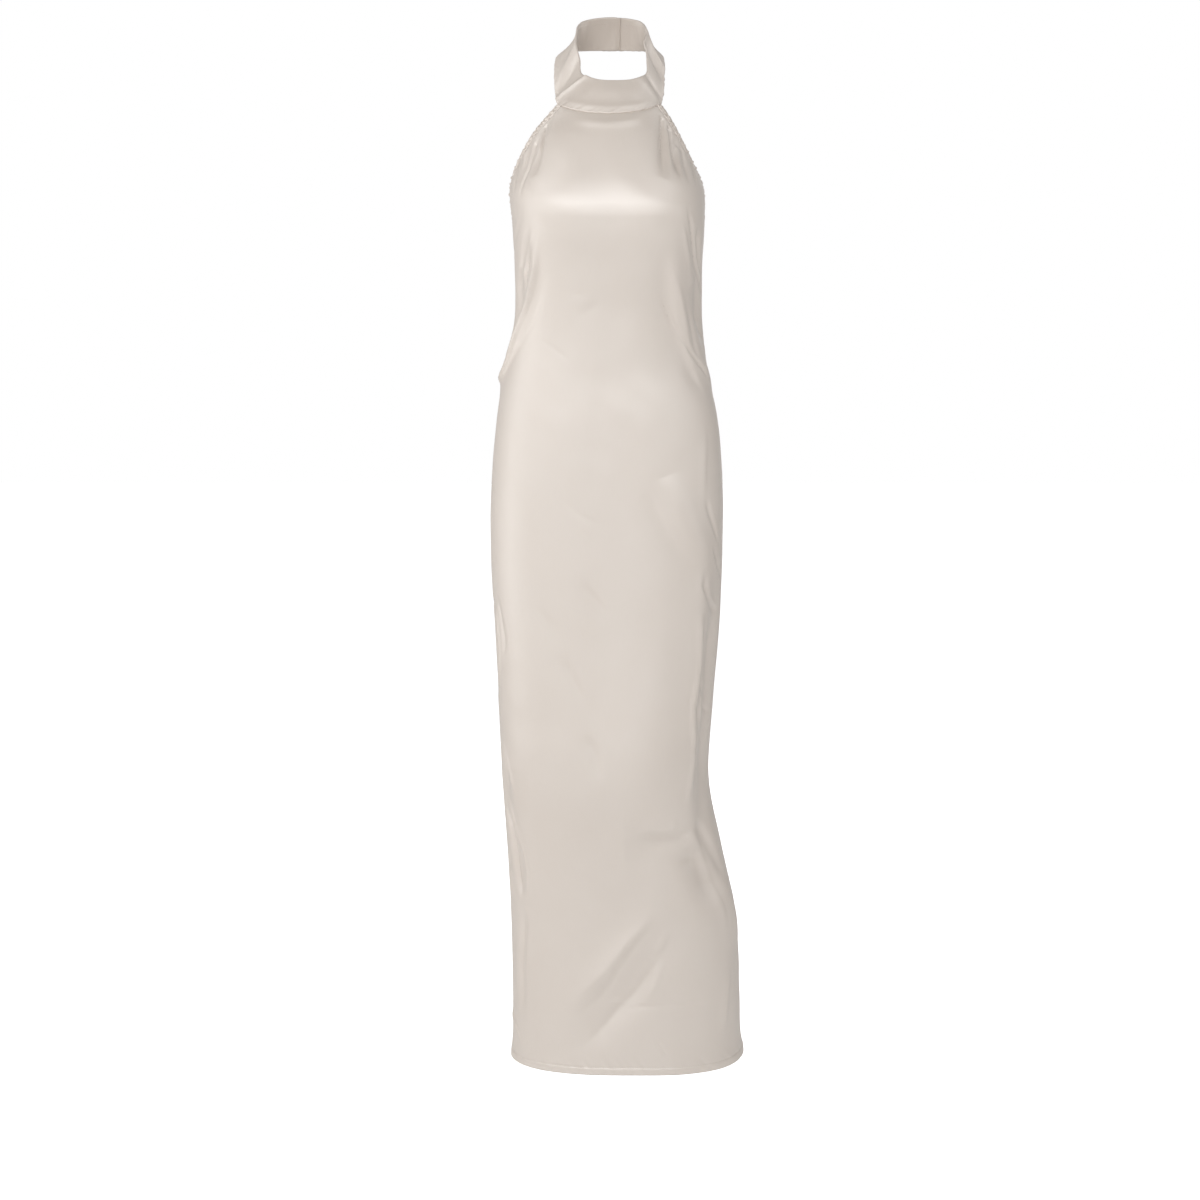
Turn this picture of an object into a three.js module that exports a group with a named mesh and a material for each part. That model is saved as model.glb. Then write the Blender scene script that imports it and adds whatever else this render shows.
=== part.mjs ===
// Ankle-length halter dress in satin: a stand collar that wraps the neck and buttons at the nape, a front
// cut in one piece from collar to hem, a back that starts in a low scoop at the waist, and narrow trims on
// every free edge. It keeps the hollow shape that it has when it is worn. Millimetres, +Z up, +X to the
// viewer's right, and the front faces -Y. The origin is in the middle of the neck, level with the band
// behind it, which is where the dress hangs.
import * as THREE from "three";

// Driving dimensions
const CLOTH = 1.6; // wall of a single layer
const BAND_CLOTH = 2.4; // wall of the doubled collar band
const TRIM_CLOTH = 2.4; // wall of the folded trims
const HEM_EXTRA = 0.5; // how far the turned-up hem stands proud
const SEAM_GAP = 0.3; // between neighbouring pieces
const TRIM_WIDTH = 8; // trims of the armholes and the back
const HEM_WIDTH = 10;
const SEAM_ANGLE = 94; // side seams, just behind the outline seen from the front
const COLLAR_ANGLE = 55.5; // where the collar leaves the front panel
const COLLAR_Z = -95; // height of those two corners
const NECKLINE_DIP = 14.5; // how far the neckline drops from the corners to the middle
const NECKLINE_FADE = 110; // depth over which the rows of the front lose that dip
const UNDERARM_Z = -215;
const SCOOP_Z = -440; // lowest point of the open back
const SCOOP_ROUNDNESS = 0.85; // below 1, the scoop is rounder at the bottom than a sine
const HEM_Z = -1331.5; // at the front
const BUTTON_RADIUS = 5;
const BUTTON_HEIGHT = 3;

// Cross-sections of the dress from the neck down. left, right, front and back are reaches from the Z axis,
// and square and backSquare say how square the rounded outline is in front and behind: 2 is an ellipse.
const SECTIONS = [
  { name: "neck base", z: -90, left: 74, right: 74, front: 77, back: 60, square: 2, backSquare: 2 },
  { name: "collar bone", z: -110, left: 90, right: 86.5, front: 86, back: 64, square: 2.05, backSquare: 2.05 },
  { name: "upper chest", z: -135, left: 105.5, right: 96, front: 98, back: 72, square: 2.2, backSquare: 2.2 },
  { name: "chest", z: -165, left: 117.5, right: 106.5, front: 109, back: 80, square: 2.4, backSquare: 2.4 },
  { name: "underarm", z: -200, left: 126.5, right: 119.5, front: 118, back: 86, square: 2.7, backSquare: 2.7 },
  { name: "bust", z: -235, left: 124, right: 121, front: 122, back: 86, square: 2.9, backSquare: 2.9 },
  { name: "under bust", z: -300, left: 121, right: 118.5, front: 114, back: 80, square: 2.8, backSquare: 2.7 },
  { name: "waist", z: -365, left: 122, right: 119.5, front: 105, back: 71, square: 2.7, backSquare: 2.5 },
  { name: "high hip", z: -430, left: 135, right: 126, front: 104, back: 71, square: 2.7, backSquare: 2.4 },
  { name: "belly", z: -490, left: 144.5, right: 139, front: 107, back: 86, square: 2.8, backSquare: 2.35 },
  { name: "hip", z: -590, left: 152.5, right: 146.5, front: 111, back: 109, square: 3, backSquare: 2.3 },
  { name: "seat", z: -660, left: 153, right: 146, front: 112, back: 113, square: 3.1, backSquare: 2.3 },
  { name: "thigh", z: -760, left: 148.5, right: 142.5, front: 112, back: 103, square: 3.1, backSquare: 2.3 },
  { name: "lower thigh", z: -860, left: 144, right: 134.5, front: 112, back: 94, square: 3, backSquare: 2.35 },
  { name: "knee", z: -960, left: 139.5, right: 130, front: 111, back: 90, square: 2.9, backSquare: 2.4 },
  { name: "below knee", z: -1050, left: 133.5, right: 147.5, front: 104, back: 90, square: 2.6, backSquare: 2.35 },
  { name: "calf", z: -1140, left: 129, right: 166.5, front: 99, back: 94, square: 2.5, backSquare: 2.3 },
  { name: "low calf", z: -1240, left: 127, right: 172, front: 98, back: 99, square: 2.5, backSquare: 2.3 },
  { name: "hem line", z: -1300, left: 127.5, right: 174, front: 101, back: 103, square: 2.4, backSquare: 2.3 },
  { name: "hem", z: HEM_Z, left: 129.5, right: 179, front: 103, back: 105, square: 2.35, backSquare: 2.3 },
];

// Edge of the armhole from the collar to the side seam. Angles are in degrees from the front, and a positive
// one is on the viewer's right.
const ARMHOLE = [
  { name: "collar", angle: COLLAR_ANGLE, z: COLLAR_Z },
  { name: "collar bone", angle: 64, z: -125 },
  { name: "chest", angle: 69.5, z: -150 },
  { name: "front of arm", angle: 77.5, z: -175 },
  { name: "under arm", angle: 85, z: -193 },
  { name: "side seam", angle: SEAM_ANGLE, z: UNDERARM_Z },
];

// How far the hem hangs above its height at the front, and the depth of skirt over which that comes in.
const HEM_RISE = [
  { name: "left side", angle: -94, rise: 1.5 },
  { name: "left of front", angle: -60, rise: 0 },
  { name: "front", angle: 0, rise: 0 },
  { name: "right of front", angle: 58, rise: 0 },
  { name: "right side", angle: 94, rise: 8 },
  { name: "back", angle: 180, rise: 4 },
  { name: "left side again", angle: 266, rise: 1.5 },
];
const HEM_RISE_STARTS = -1180;

// Soft swellings: the two cups that the darts give, and the place where the skirt is pushed forward.
const SWELLINGS = [
  { name: "left cup", angle: -33, z: -228, wide: 42, tall: 44, height: 7 },
  { name: "right cup", angle: 33, z: -228, wide: 42, tall: 44, height: 7 },
  { name: "forward fall", angle: 27, z: -925, wide: 52, tall: 82, height: 8 },
];

// Folds, each a straight ridge or trough between two points of the cloth. A negative height is a trough.
const FOLDS = [
  { name: "left dart", a0: -40, z0: -244, a1: -74, z1: -352, width: 9, height: -2.5 },
  { name: "right dart", a0: 42, z0: -238, a1: 73, z1: -360, width: 9, height: -2.5 },
  { name: "left drape", a0: -38, z0: -256, a1: -68, z1: -408, width: 13, height: 4.5 },
  { name: "left drape to hip", a0: -55, z0: -356, a1: -91, z1: -456, width: 13, height: 4.5 },
  { name: "hollow left of it", a0: -60, z0: -305, a1: -80, z1: -392, width: 17, height: -8 },
  { name: "right drape", a0: 30, z0: -250, a1: 58, z1: -425, width: 15, height: 4 },
  { name: "right drape to hip", a0: 56, z0: -405, a1: 86, z1: -452, width: 13, height: 3.5 },
  { name: "hollow right of it", a0: 58, z0: -318, a1: 80, z1: -400, width: 17, height: -7 },
  { name: "left gather by collar", a0: -56, z0: -112, a1: -43, z1: -188, width: 8, height: -3 },
  { name: "left gather by armhole", a0: -62, z0: -138, a1: -51, z1: -192, width: 8, height: -2.5 },
  { name: "right gather by collar", a0: 49, z0: -108, a1: 32, z1: -190, width: 8, height: -3 },
  { name: "right gather by armhole", a0: 58, z0: -128, a1: 44, z1: -186, width: 8, height: -3 },
  { name: "right hip ridge", a0: 36, z0: -560, a1: 58, z1: -680, width: 17, height: 4 },
  { name: "right flank edge", a0: 53, z0: -640, a1: 50, z1: -1010, width: 15, height: 3.5 },
  { name: "right flank trough", a0: 66, z0: -670, a1: 65, z1: -900, width: 17, height: -5 },
  { name: "left seam fold", a0: -74, z0: -720, a1: -82, z1: -850, width: 13, height: -4.5 },
  { name: "left calf fold", a0: -70, z0: -890, a1: -62, z1: -1120, width: 15, height: -4.5 },
  { name: "below the knee", a0: 8, z0: -1035, a1: 52, z1: -1040, width: 24, height: -4.5 },
  { name: "beside the knee", a0: 64, z0: -860, a1: 58, z1: -1060, width: 19, height: -5 },
  { name: "right calf ridge", a0: 66, z0: -1050, a1: 80, z1: -1180, width: 18, height: 4 },
  { name: "upper slant fold", a0: 30, z0: -1106, a1: -52, z1: -1272, width: 22, height: 4 },
  { name: "upper slant trough", a0: 33, z0: -1150, a1: -34, z1: -1306, width: 20, height: -3.5 },
  { name: "sag under the scoop", a0: 148, z0: -478, a1: 212, z1: -478, width: 15, height: -5 },
  { name: "second sag", a0: 158, z0: -512, a1: 202, z1: -512, width: 14, height: -3.5 },
  { name: "left pull to seat", a0: -104, z0: -395, a1: -138, z1: -520, width: 16, height: 4.5 },
  { name: "right pull to seat", a0: 104, z0: -395, a1: 138, z1: -530, width: 16, height: 4.5 },
  { name: "below the seat", a0: 150, z0: -775, a1: 206, z1: -785, width: 24, height: -5 },
  { name: "left back fall", a0: -140, z0: -760, a1: -132, z1: -1180, width: 22, height: 5 },
  { name: "right back fall", a0: 146, z0: -800, a1: 134, z1: -1260, width: 24, height: 5.5 },
  { name: "middle back fall", a0: 178, z0: -900, a1: 184, z1: -1330, width: 24, height: -5 },
  { name: "back hem slant", a0: -118, z0: -1130, a1: -158, z1: -1300, width: 24, height: -4.5 },
];

// Collar band from its under end at the nape, round the left, the front and the right, to the end that laps
// over it. low is the sewn or lower edge and top the free upper one. Between the corners the lower edge
// follows the neckline. bulge is how far the middle of its width stands out, or in where it is negative.
const BAND = [
  { at: -192, lowX: 13, lowY: 60, lowZ: -19.5, topX: 14, topY: 49.5, topZ: 20, bulge: 1 },
  { at: -180, lowX: 0, lowY: 61, lowZ: -19.5, topX: 2, topY: 51, topZ: 20.5, bulge: 1 },
  { at: -150, lowX: -29, lowY: 56, lowZ: -20, topX: -22, topY: 46, topZ: 18, bulge: 0 },
  { at: -125, lowX: -53, lowY: 38, lowZ: -23, topX: -37.5, topY: 33, topZ: 12, bulge: -4 },
  { at: -100, lowX: -68, lowY: 12, lowZ: -33, topX: -43, topY: 13, topZ: 0, bulge: -7 },
  { at: -80, lowX: -70, lowY: -12, lowZ: -53, topX: -42.5, topY: -10, topZ: -18, bulge: -3 },
  { at: -66, lowX: -69, lowY: -30, lowZ: -76, topX: -39.5, topY: -29, topZ: -38, bulge: 0 },
  { at: -57, lowX: -66.5, lowY: -42.5, lowZ: -93, topX: -36.5, topY: -43, topZ: -57, bulge: 1.5 },
  { at: -48, lowX: -58, lowY: -53, lowZ: -99, topX: -29, topY: -53, topZ: -62, bulge: 1 },
  { at: 0, lowX: 0, lowY: -86, lowZ: -109, topX: 3, topY: -64, topZ: -68, bulge: 1.5 },
  { at: 48, lowX: 58, lowY: -53, lowZ: -99, topX: 41, topY: -50, topZ: -62, bulge: 1 },
  { at: 57, lowX: 66.5, lowY: -42.5, lowZ: -93, topX: 48, topY: -40, topZ: -56, bulge: 1.5 },
  { at: 66, lowX: 69, lowY: -30, lowZ: -76, topX: 48, topY: -27, topZ: -38, bulge: 0 },
  { at: 80, lowX: 70, lowY: -12, lowZ: -53, topX: 48, topY: -10, topZ: -18, bulge: -2 },
  { at: 100, lowX: 69, lowY: 12, lowZ: -33, topX: 48.5, topY: 13, topZ: 0, bulge: -5 },
  { at: 125, lowX: 55, lowY: 38, lowZ: -23, topX: 43, topY: 34, topZ: 12, bulge: -3 },
  { at: 150, lowX: 31, lowY: 57.5, lowZ: -20, topX: 28, topY: 48, topZ: 18, bulge: 0 },
  { at: 180, lowX: 0, lowY: 64.5, lowZ: -19.5, topX: 2, topY: 54.5, topZ: 20.5, bulge: 1 },
  { at: 192, lowX: -13, lowY: 64, lowZ: -19.5, topX: -10, topY: 54, topZ: 20, bulge: 1 },
];

// How finely each piece is divided
const FRONT_COLUMNS = 30;
const ARMHOLE_ROWS = 12;
const BODICE_ROWS = 17; // from the underarm to the hip
const SKIRT_ROWS = 32; // from the hip to the hem
const BODICE_END_Z = -470;
const BACK_COLUMNS = 30;
const BACK_ROWS = 33;
const BACK_ROW_CROWDING = 1.3; // above 1, the rows crowd towards the scoop
const BAND_STEPS = 56;
const BAND_ROWS = 4;

// Colours of the satin, as seen on the outside
const SATIN = new THREE.Color(0.83, 0.79, 0.75);
const SATIN_TRIM = new THREE.Color(0.8, 0.755, 0.715);
const SATIN_ROUGHNESS = 0.42;

// Gives a smooth function of one column of a table, by a cubic through its rows.
function smoothTable(rows, key) {
  const columns = Object.keys(rows[0]).filter((column) => column !== key && column !== "name");
  const ordered = [...rows].sort((one, other) => one[key] - other[key]);
  const positions = ordered.map((row) => row[key]);
  const values = ordered.flatMap((row) => columns.map((column) => row[column]));
  const interpolant = new THREE.CubicInterpolant(positions, values, columns.length);
  return (at) => {
    const clamped = THREE.MathUtils.clamp(at, positions[0], positions[positions.length - 1]);
    const result = interpolant.evaluate(clamped);
    return Object.fromEntries(columns.map((column, i) => [column, result[i]]));
  };
}

const sectionAt = smoothTable(SECTIONS, "z");
const armholeAngleAt = smoothTable(ARMHOLE, "z");
const bandAt = smoothTable(BAND, "at");
const hemRiseAt = smoothTable(HEM_RISE, "angle");

// Reach of a section from its own middle in one direction.
function reach(section, angle) {
  const radians = THREE.MathUtils.degToRad(angle);
  const width = (section.left + section.right) / 2;
  const inFront = Math.cos(radians) > 0;
  const depth = inFront ? section.front : section.back;
  const square = inFront ? section.square : section.backSquare;
  const across = Math.abs(Math.sin(radians) / width) ** square;
  const along = Math.abs(Math.cos(radians) / depth) ** square;
  return (across + along) ** (-1 / square);
}

// The same direction as an angle from -180 to 180.
function wrapped(angle) {
  return THREE.MathUtils.euclideanModulo(angle + 180, 360) - 180;
}

// How far a swelling or a fold moves the cloth out at a point.
function swellingHeight(swelling, angle, z, perDegree) {
  const across = (wrapped(angle - swelling.angle) * perDegree) / swelling.wide;
  const along = (z - swelling.z) / swelling.tall;
  return swelling.height * Math.exp(-(across ** 2 + along ** 2) / 2);
}

// A fold fades towards both of its ends.
function foldHeight(fold, angle, z, perDegree) {
  const spanAcross = (fold.a1 - fold.a0) * perDegree;
  const spanAlong = fold.z1 - fold.z0;
  const span = Math.hypot(spanAcross, spanAlong);
  const across = wrapped(angle - fold.a0) * perDegree;
  const along = z - fold.z0;
  const share = (across * spanAcross + along * spanAlong) / span ** 2;
  const beside = (across * spanAlong - along * spanAcross) / span;
  if (share < 0 || share > 1) return 0;
  const taper = Math.sin(Math.PI * share) ** 0.8;
  return fold.height * taper * Math.exp(-((beside / fold.width) ** 2));
}

// Point on the outside of the dress, at an angle round the Z axis and a height.
function surface(angle, z) {
  const section = sectionAt(z);
  const radians = THREE.MathUtils.degToRad(angle);
  const plain = reach(section, angle);
  const perDegree = THREE.MathUtils.degToRad(plain);
  let moved = 0;
  for (const swelling of SWELLINGS) moved += swellingHeight(swelling, angle, z, perDegree);
  for (const fold of FOLDS) moved += foldHeight(fold, angle, z, perDegree);
  const out = plain + moved;
  const middle = (section.right - section.left) / 2;
  return new THREE.Vector3(middle + out * Math.sin(radians), -out * Math.cos(radians), z);
}

// Point on the outside of the collar band. across runs from 0 at its lower edge to 1 at its upper one.
function bandSurface(at, across) {
  const row = bandAt(at);
  let low = new THREE.Vector3(row.lowX, row.lowY, row.lowZ);
  const top = new THREE.Vector3(row.topX, row.topY, row.topZ);
  if (Math.abs(at) <= COLLAR_ANGLE) {
    low = surface(at, necklineZ(at));
    low.addScaledVector(top.clone().sub(low).normalize(), SEAM_GAP);
  }
  const point = low.lerp(top, across);
  const outward = new THREE.Vector3(point.x, point.y, 0).normalize();
  return point.addScaledVector(outward, row.bulge * Math.sin(Math.PI * across));
}

// Neckline of the front panel, which the collar is sewn to.
function necklineZ(angle) {
  const share = Math.min(1, Math.abs(angle) / COLLAR_ANGLE);
  return COLLAR_Z - NECKLINE_DIP * Math.cos((Math.PI / 2) * share);
}

// Edge of the open back, from the underarm at the side seam down to the middle.
function scoopZ(angle) {
  const share = Math.max(0, (Math.abs(wrapped(angle)) - SEAM_ANGLE) / (180 - SEAM_ANGLE));
  return UNDERARM_Z + (SCOOP_Z - UNDERARM_Z) * Math.sin((Math.PI / 2) * share) ** SCOOP_ROUNDNESS;
}

// Outward unit vector of a surface that is a function of two numbers.
function outwardAt(pointAt, first, second, firstStep, secondStep) {
  const along = pointAt(first + firstStep, second).sub(pointAt(first - firstStep, second));
  const across = pointAt(first, second + secondStep).sub(pointAt(first, second - secondStep));
  return along.cross(across).normalize();
}

// Closed wall of cloth from a grid of outer points, their outward vectors and a thickness for each row.
function wall(grid) {
  const rows = grid.length;
  const columns = grid[0].length;
  const outer = grid.flatMap((row) => row.map((cell) => cell.point));
  const inner = grid.flatMap((row) =>
    row.map((cell) => cell.point.clone().addScaledVector(cell.outward, -cell.thickness)),
  );
  const count = rows * columns;
  const faces = [];
  const quad = (a, b, c, d) => faces.push(a, b, c, a, c, d);
  const index = (row, column) => row * columns + column;
  for (let row = 0; row < rows - 1; row++) {
    for (let column = 0; column < columns - 1; column++) {
      const a = index(row, column);
      const b = index(row, column + 1);
      const c = index(row + 1, column + 1);
      const d = index(row + 1, column);
      quad(a, d, c, b);
      quad(a + count, b + count, c + count, d + count);
    }
  }
  const rim = [];
  for (let column = 0; column < columns - 1; column++) rim.push(index(0, column));
  for (let row = 0; row < rows - 1; row++) rim.push(index(row, columns - 1));
  for (let column = columns - 1; column > 0; column--) rim.push(index(rows - 1, column));
  for (let row = rows - 1; row > 0; row--) rim.push(index(row, 0));
  rim.forEach((a, i) => {
    const b = rim[(i + 1) % rim.length];
    quad(a, b, b + count, a + count);
  });
  const geometry = new THREE.BufferGeometry().setFromPoints([...outer, ...inner]);
  geometry.setIndex(faces);
  geometry.computeVertexNormals();
  return geometry;
}

// One outer point of the dress with its wall there. proud is how far a thicker wall stands out each way.
function cell(angle, level, thickness, proud = 0) {
  const share = THREE.MathUtils.smoothstep(-level, -HEM_RISE_STARTS, -HEM_Z - HEM_WIDTH);
  const z = level + share * hemRiseAt(angle).rise;
  const outward = outwardAt(surface, angle, z, 0.4, 1);
  const point = surface(angle, z).addScaledVector(outward, proud);
  return { point, outward, thickness: thickness + 2 * proud };
}

// Degrees that a length of cloth covers at a point.
function degreesFor(length, angle, z) {
  return THREE.MathUtils.radToDeg(length / reach(sectionAt(z), angle));
}

// Moves a point of an edge into the cloth by a width. slope is the edge's own direction and blend, from 0
// to 1, turns the move from square to the edge into the direction of a seam that the edge ends on.
function inset(angle, z, slope, seam, blend, width) {
  const square = new THREE.Vector2(slope.y, -slope.x).normalize();
  const direction = square.clone().lerp(seam, blend).normalize();
  const length = width / direction.dot(square);
  return {
    angle: angle + degreesFor(direction.x * length, angle, z),
    z: z + direction.y * length,
  };
}

// Point of the armhole edge on one side, moved into the front panel by a width.
function armholePoint(share, width) {
  const z = THREE.MathUtils.lerp(COLLAR_Z, UNDERARM_Z, share);
  const at = (height) => armholeAngleAt(height).angle;
  const perDegree = 1 / degreesFor(1, at(z), z);
  const slope = new THREE.Vector2((at(z - 1) - at(z + 1)) * perDegree, -2);
  const alongNeckline = new THREE.Vector2(-1, -0.3);
  const alongSeam = new THREE.Vector2(0, -1);
  const nearCollar = THREE.MathUtils.clamp(1 - share / 0.2, 0, 1);
  const nearSeam = THREE.MathUtils.clamp((share - 0.8) / 0.2, 0, 1);
  const seam = nearCollar > 0 ? alongNeckline : alongSeam;
  return inset(at(z), z, slope, seam, Math.max(nearCollar, nearSeam), width);
}

// Point of the scoop's edge, moved down into the back panel by a width.
function scoopPoint(angle, width) {
  const perDegree = 1 / degreesFor(1, angle, scoopZ(angle));
  const slope = new THREE.Vector2(2 * perDegree, scoopZ(angle + 1) - scoopZ(angle - 1));
  const fromSeam = Math.min(angle - SEAM_ANGLE, 360 - SEAM_ANGLE - angle);
  const blend = THREE.MathUtils.clamp(1 - fromSeam / 12, 0, 1);
  return inset(angle, scoopZ(angle), slope, new THREE.Vector2(0, -1), blend, width);
}

// Directions of the back's columns, which its trim shares.
const BACK_ANGLES = Array.from({ length: BACK_COLUMNS + 1 }, (_, column) =>
  THREE.MathUtils.lerp(SEAM_ANGLE, 360 - SEAM_ANGLE, column / BACK_COLUMNS),
);

// Heights of the front panel's sides below the armhole, down to the hem.
function frontSideHeights() {
  const start = armholePoint(1, TRIM_WIDTH + SEAM_GAP).z;
  const bodice = Array.from({ length: BODICE_ROWS }, (_, i) =>
    THREE.MathUtils.lerp(start, BODICE_END_Z, (i + 1) / BODICE_ROWS),
  );
  const skirt = Array.from({ length: SKIRT_ROWS }, (_, i) =>
    THREE.MathUtils.lerp(BODICE_END_Z, HEM_Z + HEM_WIDTH, (i + 1) / SKIRT_ROWS),
  );
  return [...bodice, ...skirt];
}

// Front: neckline, armholes, sides and hem in one piece.
function frontPanel() {
  const sides = [];
  for (let i = 0; i <= ARMHOLE_ROWS; i++) {
    sides.push(armholePoint(i / ARMHOLE_ROWS, TRIM_WIDTH + SEAM_GAP));
  }
  for (const z of frontSideHeights()) sides.push({ angle: SEAM_ANGLE, z });
  const plainRow = (side, thickness, proud) =>
    Array.from({ length: FRONT_COLUMNS + 1 }, (_, column) => {
      const across = (2 * column) / FRONT_COLUMNS - 1;
      const halfGap = degreesFor(SEAM_GAP / 2, SEAM_ANGLE, side.z);
      const widest = Math.min(side.angle, SEAM_ANGLE - halfGap);
      const below = Math.max(0, 1 - (COLLAR_Z - side.z) / NECKLINE_FADE);
      const dip = necklineZ(side.angle) - necklineZ(across * widest);
      return cell(across * widest, side.z - below * dip, thickness, proud);
    });
  const grid = sides.map((side) => plainRow(side, CLOTH, 0));
  grid.push(plainRow({ angle: SEAM_ANGLE, z: HEM_Z + HEM_WIDTH - 1 }, CLOTH, HEM_EXTRA));
  grid.push(plainRow({ angle: SEAM_ANGLE, z: HEM_Z }, CLOTH, HEM_EXTRA));
  return wall(grid);
}

// Back: from the scoop down to the hem, between the side seams.
function backPanel() {
  const start = BACK_ANGLES.map((angle) => scoopPoint(angle, TRIM_WIDTH + SEAM_GAP));
  const row = (share, z, thickness, proud) =>
    BACK_ANGLES.map((angle, column) => {
      const height = z ?? THREE.MathUtils.lerp(start[column].z, HEM_Z + HEM_WIDTH, share);
      const turned = THREE.MathUtils.lerp(start[column].angle, angle, Math.min(1, 3 * share));
      const halfGap = degreesFor(SEAM_GAP / 2, SEAM_ANGLE, height);
      const kept = THREE.MathUtils.clamp(turned, SEAM_ANGLE + halfGap, 360 - SEAM_ANGLE - halfGap);
      return cell(kept, height, thickness, proud);
    });
  const grid = [];
  for (let i = 0; i <= BACK_ROWS; i++) {
    grid.push(row((i / BACK_ROWS) ** BACK_ROW_CROWDING, null, CLOTH, 0));
  }
  grid.push(row(1, HEM_Z + HEM_WIDTH - 1, CLOTH, HEM_EXTRA));
  grid.push(row(1, HEM_Z, CLOTH, HEM_EXTRA));
  return wall(grid);
}

// Folded trim on one armhole of the front: side is 1 on the viewer's right and -1 on the left.
function armholeTrim(side) {
  const grid = [];
  for (let i = 0; i <= ARMHOLE_ROWS; i++) {
    const ends = [0, TRIM_WIDTH].map((width) => armholePoint(i / ARMHOLE_ROWS, width));
    const row = [0, 0.5, 1].map((across) => {
      const angle = THREE.MathUtils.lerp(ends[0].angle, ends[1].angle, across);
      const z = THREE.MathUtils.lerp(ends[0].z, ends[1].z, across);
      const halfGap = degreesFor(SEAM_GAP / 2, SEAM_ANGLE, z);
      const kept = Math.min(angle, SEAM_ANGLE - halfGap);
      return cell(side * kept, z, CLOTH, (TRIM_CLOTH - CLOTH) / 2);
    });
    grid.push(side > 0 ? row.reverse() : row);
  }
  return wall(grid);
}

// Folded trim round the edge of the open back.
function scoopTrim() {
  const grid = [0, 0.5, 1].map((across) =>
    BACK_ANGLES.map((angle) => {
      const point = scoopPoint(angle, across * TRIM_WIDTH);
      const halfGap = degreesFor(SEAM_GAP / 2, SEAM_ANGLE, point.z);
      const kept = THREE.MathUtils.clamp(point.angle, SEAM_ANGLE + halfGap, 360 - SEAM_ANGLE - halfGap);
      return cell(kept, point.z, CLOTH, (TRIM_CLOTH - CLOTH) / 2);
    }),
  );
  return wall(grid);
}

// Collar: one doubled band from nape to nape.
function neckBand() {
  const first = BAND[0].at;
  const last = BAND[BAND.length - 1].at;
  const grid = [];
  for (let row = BAND_ROWS; row >= 0; row--) {
    const cells = [];
    for (let step = 0; step <= BAND_STEPS; step++) {
      const at = THREE.MathUtils.lerp(first, last, step / BAND_STEPS);
      const across = row / BAND_ROWS;
      const outward = outwardAt(bandSurface, at, across, 0.5, 0.02);
      cells.push({ point: bandSurface(at, across), outward, thickness: BAND_CLOTH });
    }
    grid.push(cells);
  }
  return wall(grid);
}

// Domed button on the lapped end of the collar, at a share of the band's width.
function button(across) {
  const profile = [new THREE.Vector2(0, 0), new THREE.Vector2(BUTTON_RADIUS * 0.9, 0)];
  for (let step = 0; step <= 4; step++) {
    const turn = (Math.PI / 2) * (step / 4);
    const low = 0.35 * BUTTON_HEIGHT;
    const radius = BUTTON_RADIUS * Math.cos(turn);
    profile.push(new THREE.Vector2(step === 4 ? 0 : radius, low + (BUTTON_HEIGHT - low) * Math.sin(turn)));
  }
  const geometry = new THREE.LatheGeometry(profile, 20);
  const at = 180;
  const outward = outwardAt(bandSurface, at, across, 0.5, 0.02);
  const mesh = new THREE.Mesh(geometry);
  mesh.position.copy(bandSurface(at, across)).addScaledVector(outward, SEAM_GAP + 0.1);
  mesh.quaternion.setFromUnitVectors(new THREE.Vector3(0, 1, 0), outward);
  return mesh;
}

function satin(color) {
  return new THREE.MeshStandardMaterial({ color, roughness: SATIN_ROUGHNESS, metalness: 0 });
}

function named(name, shape, color) {
  const mesh = shape.isMesh ? shape : new THREE.Mesh(shape);
  mesh.name = name;
  mesh.material = satin(color);
  return mesh;
}

const dress = new THREE.Group();
dress.name = "halter_dress";
dress.add(named("front_panel", frontPanel(), SATIN));
dress.add(named("back_panel", backPanel(), SATIN));
dress.add(named("neck_band", neckBand(), SATIN));
dress.add(named("armhole_trim_left", armholeTrim(-1), SATIN_TRIM));
dress.add(named("armhole_trim_right", armholeTrim(1), SATIN_TRIM));
dress.add(named("back_scoop_trim", scoopTrim(), SATIN_TRIM));
dress.add(named("neck_button_upper", button(0.68), SATIN_TRIM));
dress.add(named("neck_button_lower", button(0.3), SATIN_TRIM));

export default dress;
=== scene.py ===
"""Looks of the satin halter dress. Metres, +Z up, the front faces -Y, +X to the viewer's right."""
import math

import bpy
import numpy as np
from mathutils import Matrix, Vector


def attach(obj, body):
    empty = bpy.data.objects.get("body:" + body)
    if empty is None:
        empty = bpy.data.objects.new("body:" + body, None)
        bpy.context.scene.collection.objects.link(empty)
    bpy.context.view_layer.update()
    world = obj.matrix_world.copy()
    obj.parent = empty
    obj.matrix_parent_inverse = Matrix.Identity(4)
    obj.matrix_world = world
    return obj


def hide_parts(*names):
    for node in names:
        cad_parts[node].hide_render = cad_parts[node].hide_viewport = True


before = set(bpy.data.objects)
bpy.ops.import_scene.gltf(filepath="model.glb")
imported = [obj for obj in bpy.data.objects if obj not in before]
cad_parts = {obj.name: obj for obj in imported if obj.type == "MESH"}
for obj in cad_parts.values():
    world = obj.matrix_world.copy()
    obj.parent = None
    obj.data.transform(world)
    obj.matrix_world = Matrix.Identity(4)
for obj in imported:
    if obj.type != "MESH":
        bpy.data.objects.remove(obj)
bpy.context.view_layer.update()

# The tables are in millimetres and degrees, as in the part's source. All else is in metres.
MM = 0.001

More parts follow.
